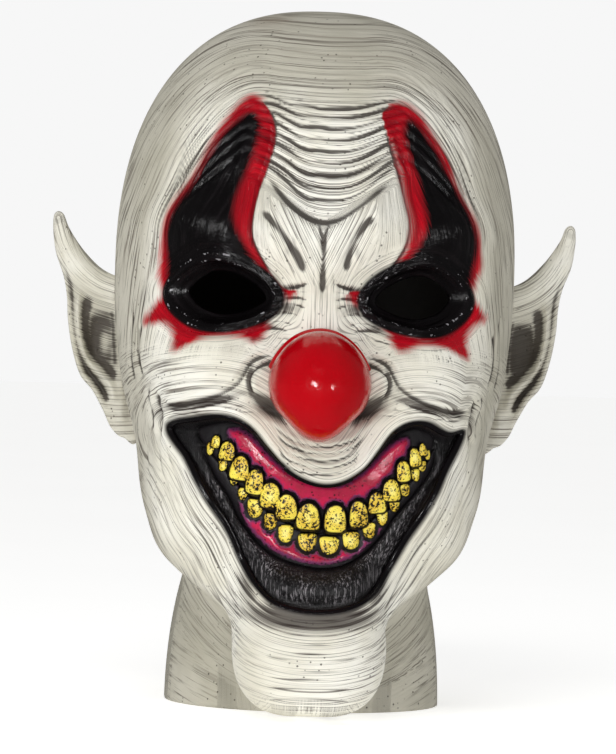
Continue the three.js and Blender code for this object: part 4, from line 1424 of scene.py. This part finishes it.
def build_ear(side):
    """An ear with a rolled rim, an arm to its tip, an inner fold and a bowl of painted brown shade."""
    flip = np.array([side, 1.0])
    line = smooth_line(EAR, 0.7, True)

    def carved(points):
        at = points * flip
        rise, shade_and_black_paint, ridge = np.zeros(len(at)), np.zeros(len(at)), np.zeros(len(at))
        bowl = np.exp(-(((at[:, 0] - 87) / 5.6) ** 4 + ((at[:, 1] - 13) / 11.5) ** 4))
        rise -= 6.0 * bowl
        for drawn, width, high, brown in EAR_LINES:
            d, along = line_distance(at, smooth_line(drawn))
            taper = np.clip(np.minimum(along, 1 - along) * 12 + 0.25, 0, 1)
            profile = np.exp(-(d / width) ** 2)
            rise += high * profile * taper
            shade_and_black_paint = np.maximum(shade_and_black_paint, brown * np.exp(-(d / (1.15 * width)) ** 2))
            ridge = np.maximum(ridge, (high > 2) * profile)
        middle = np.exp(-(((at[:, 0] - 85.5) / 3.4) ** 2 + ((at[:, 1] - 12) / 7) ** 2))
        # Painted brown shade in the bowl and along the hollows, less in the bowl's middle and on the ridges.
        shade_and_black_paint = np.maximum(shade_and_black_paint, bowl * (1 - (0.75 if side < 0 else 0.1) * middle)) * (1 - 0.8 * ridge)
        return rise, shade_and_black_paint

    def front(points):
        lean = (side * points[:, 0] - 76).clip(0) * EAR_LEAN
        return -2.0 + lean - carved(points)[0]

    def back(points):
        return front(points).clip(-6) + 3.5 + 0.02 * (side * points[:, 0] - 76)

    def fields(points):
        _, shade_and_black_paint = carved(points)
        arm = line_distance(points * flip, smooth_line(EAR_LINES[0][0]))[0]
        values = {key: np.full(len(points), float(bare)) for key, bare in BARE.items()}
        values["shade_and_black_paint"] = 1.35 * shade_and_black_paint
        values["white"] = np.clip(0.45 + 0.3 * np.exp(-(arm / 6) ** 2), 0, 1)
        values["fold"] = arm
        return values

    outline = line * flip
    name, node = ("right_ear_latex", "right_ear") if side > 0 else ("left_ear_latex", "left_ear")
    ear = outline_piece(name, outline, 0.55, front, back, 2.4, skin_material, fields)
    declare(ear, node)


# ---------------------------------------------------------------- pads, patch and label inside
PIECE_GAP = 0.35


def lining_piece(name, node, starts, ray, thickness, material, softness=4.0):
    """A pad against the inside of the skin. starts is a grid of points that are sent along one direction."""
    rows, columns = starts.shape[:2]
    origin = starts.reshape(-1, 3)
    rays = np.tile(np.asarray(ray, float), (len(origin), 1))
    skin = origin + rays * along_rays(origin, rays, 0, SHEET_REACH)[:, None]
    normals = head_normals(skin)
    sunk = INNER_SHARE * np.minimum(relief(skin)[0], 0) - LATEX - PIECE_GAP
    v, u = np.meshgrid(np.linspace(-1, 1, rows), np.linspace(-1, 1, columns), indexing="ij")
    full = (np.clip(1 - np.abs(u) ** softness, 0, 1) * np.clip(1 - np.abs(v) ** softness, 0,
                                                               1)).ravel() ** 0.5
    outer = skin + normals * (sunk - 0.3 * thickness * (1 - full))[:, None]
    inner = skin + normals * (sunk - 0.3 * thickness - 0.05 - 0.7 * thickness * full)[:, None]
    start = len(outer)
    faces = grid_faces(rows, columns).tolist() + grid_faces(rows, columns, start, flip=True).tolist()
    edge, _ = perimeter(rows, columns)
    ahead = np.roll(edge, -1)
    faces += np.column_stack([edge, ahead, ahead + start, edge + start]).tolist()
    made = make_object(name, np.vstack([outer, inner]), faces, material)
    tidy_mesh(made)
    return declare(made, node)


def patch_grid(fixed, low, high, count=36):
    """A grid of start points between two corners of the plane where fixed, as (axis, value), holds."""
    axis, value = fixed
    free = [k for k in range(3) if k != axis]
    a, b = np.meshgrid(np.linspace(low[0], high[0], count), np.linspace(low[1], high[1], count))
    grid = np.zeros((count, count, 3))
    grid[..., axis], grid[..., free[0]], grid[..., free[1]] = value, a, b
    return grid


def build_inside():
    foam = simple_latex("grey_foam", colour(48, 48, 51), colour(66, 66, 70), 0.85, 0.98, 0.9, 900.0)
    brow = patch_grid((1, SHEET_START), (-41, 79), (41, 105))
    pads = [lining_piece("forehead_foam", "forehead_pad", brow, (0, -1, 0), 5, foam)]
    for name, side in (("left_temple", -1), ("right_temple", 1)):
        temple = patch_grid((0, 5 * side), (-47, 47), (-7, 79))
        pads.append(lining_piece(f"{name}_foam", f"{name}_pad", temple, (side, 0, 0), 5, foam))
    above_slit = patch_grid((1, PARTING), (-13.5, SLIT_TOP + 1.5), (13.5, SLIT_TOP + 18.5))
    lining_piece("slit_reinforcement", "slit_patch", above_slit, (0, 1, 0), 1.0,
                 woven_cloth(), 24.0)
    blank = simple_latex("blank_satin", colour(226, 224, 216), colour(236, 235, 229), 0.5, 0.65, 0.25, 800.0)
    beside_nape = patch_grid((0, 10), (PARTING + 3.5, -121.5), (PARTING + 17.5, -98.5))
    lining_piece("blank_care_label", "care_label", beside_nape, (1, 0, 0), 0.8, blank, 24.0)


def woven_cloth():
    """A plain weave, drawn by two crossed sets of threads."""
    g = Graph("woven_patch")
    parts = g.node("ShaderNodeSeparateXYZ")
    g.link(parts.inputs[0], g.texture)
    warp = g.maths("SINE", g.maths("MULTIPLY", parts.outputs["X"], 6000.0))
    weft = g.maths("SINE", g.maths("MULTIPLY", parts.outputs["Z"], 6000.0))
    weave = g.maths("MULTIPLY", warp, weft)
    tone = g.mix(g.spread(weave, -0.6, 0.6), colour(128, 121, 108), colour(152, 145, 131))
    return g.finish(tone, g.spread(g.noise(300.0), 0.3, 0.7, 0.8, 0.95), g.bump(weave, 0.0004, 0.6),
                    Specular_IOR_Level=0.3)


add_camera()
add_studio()
skin_material = latex_skin("painted_latex")
build_face()
build_rear()
build_mouth()
build_nose()
build_ear(1)
build_ear(-1)
build_inside()
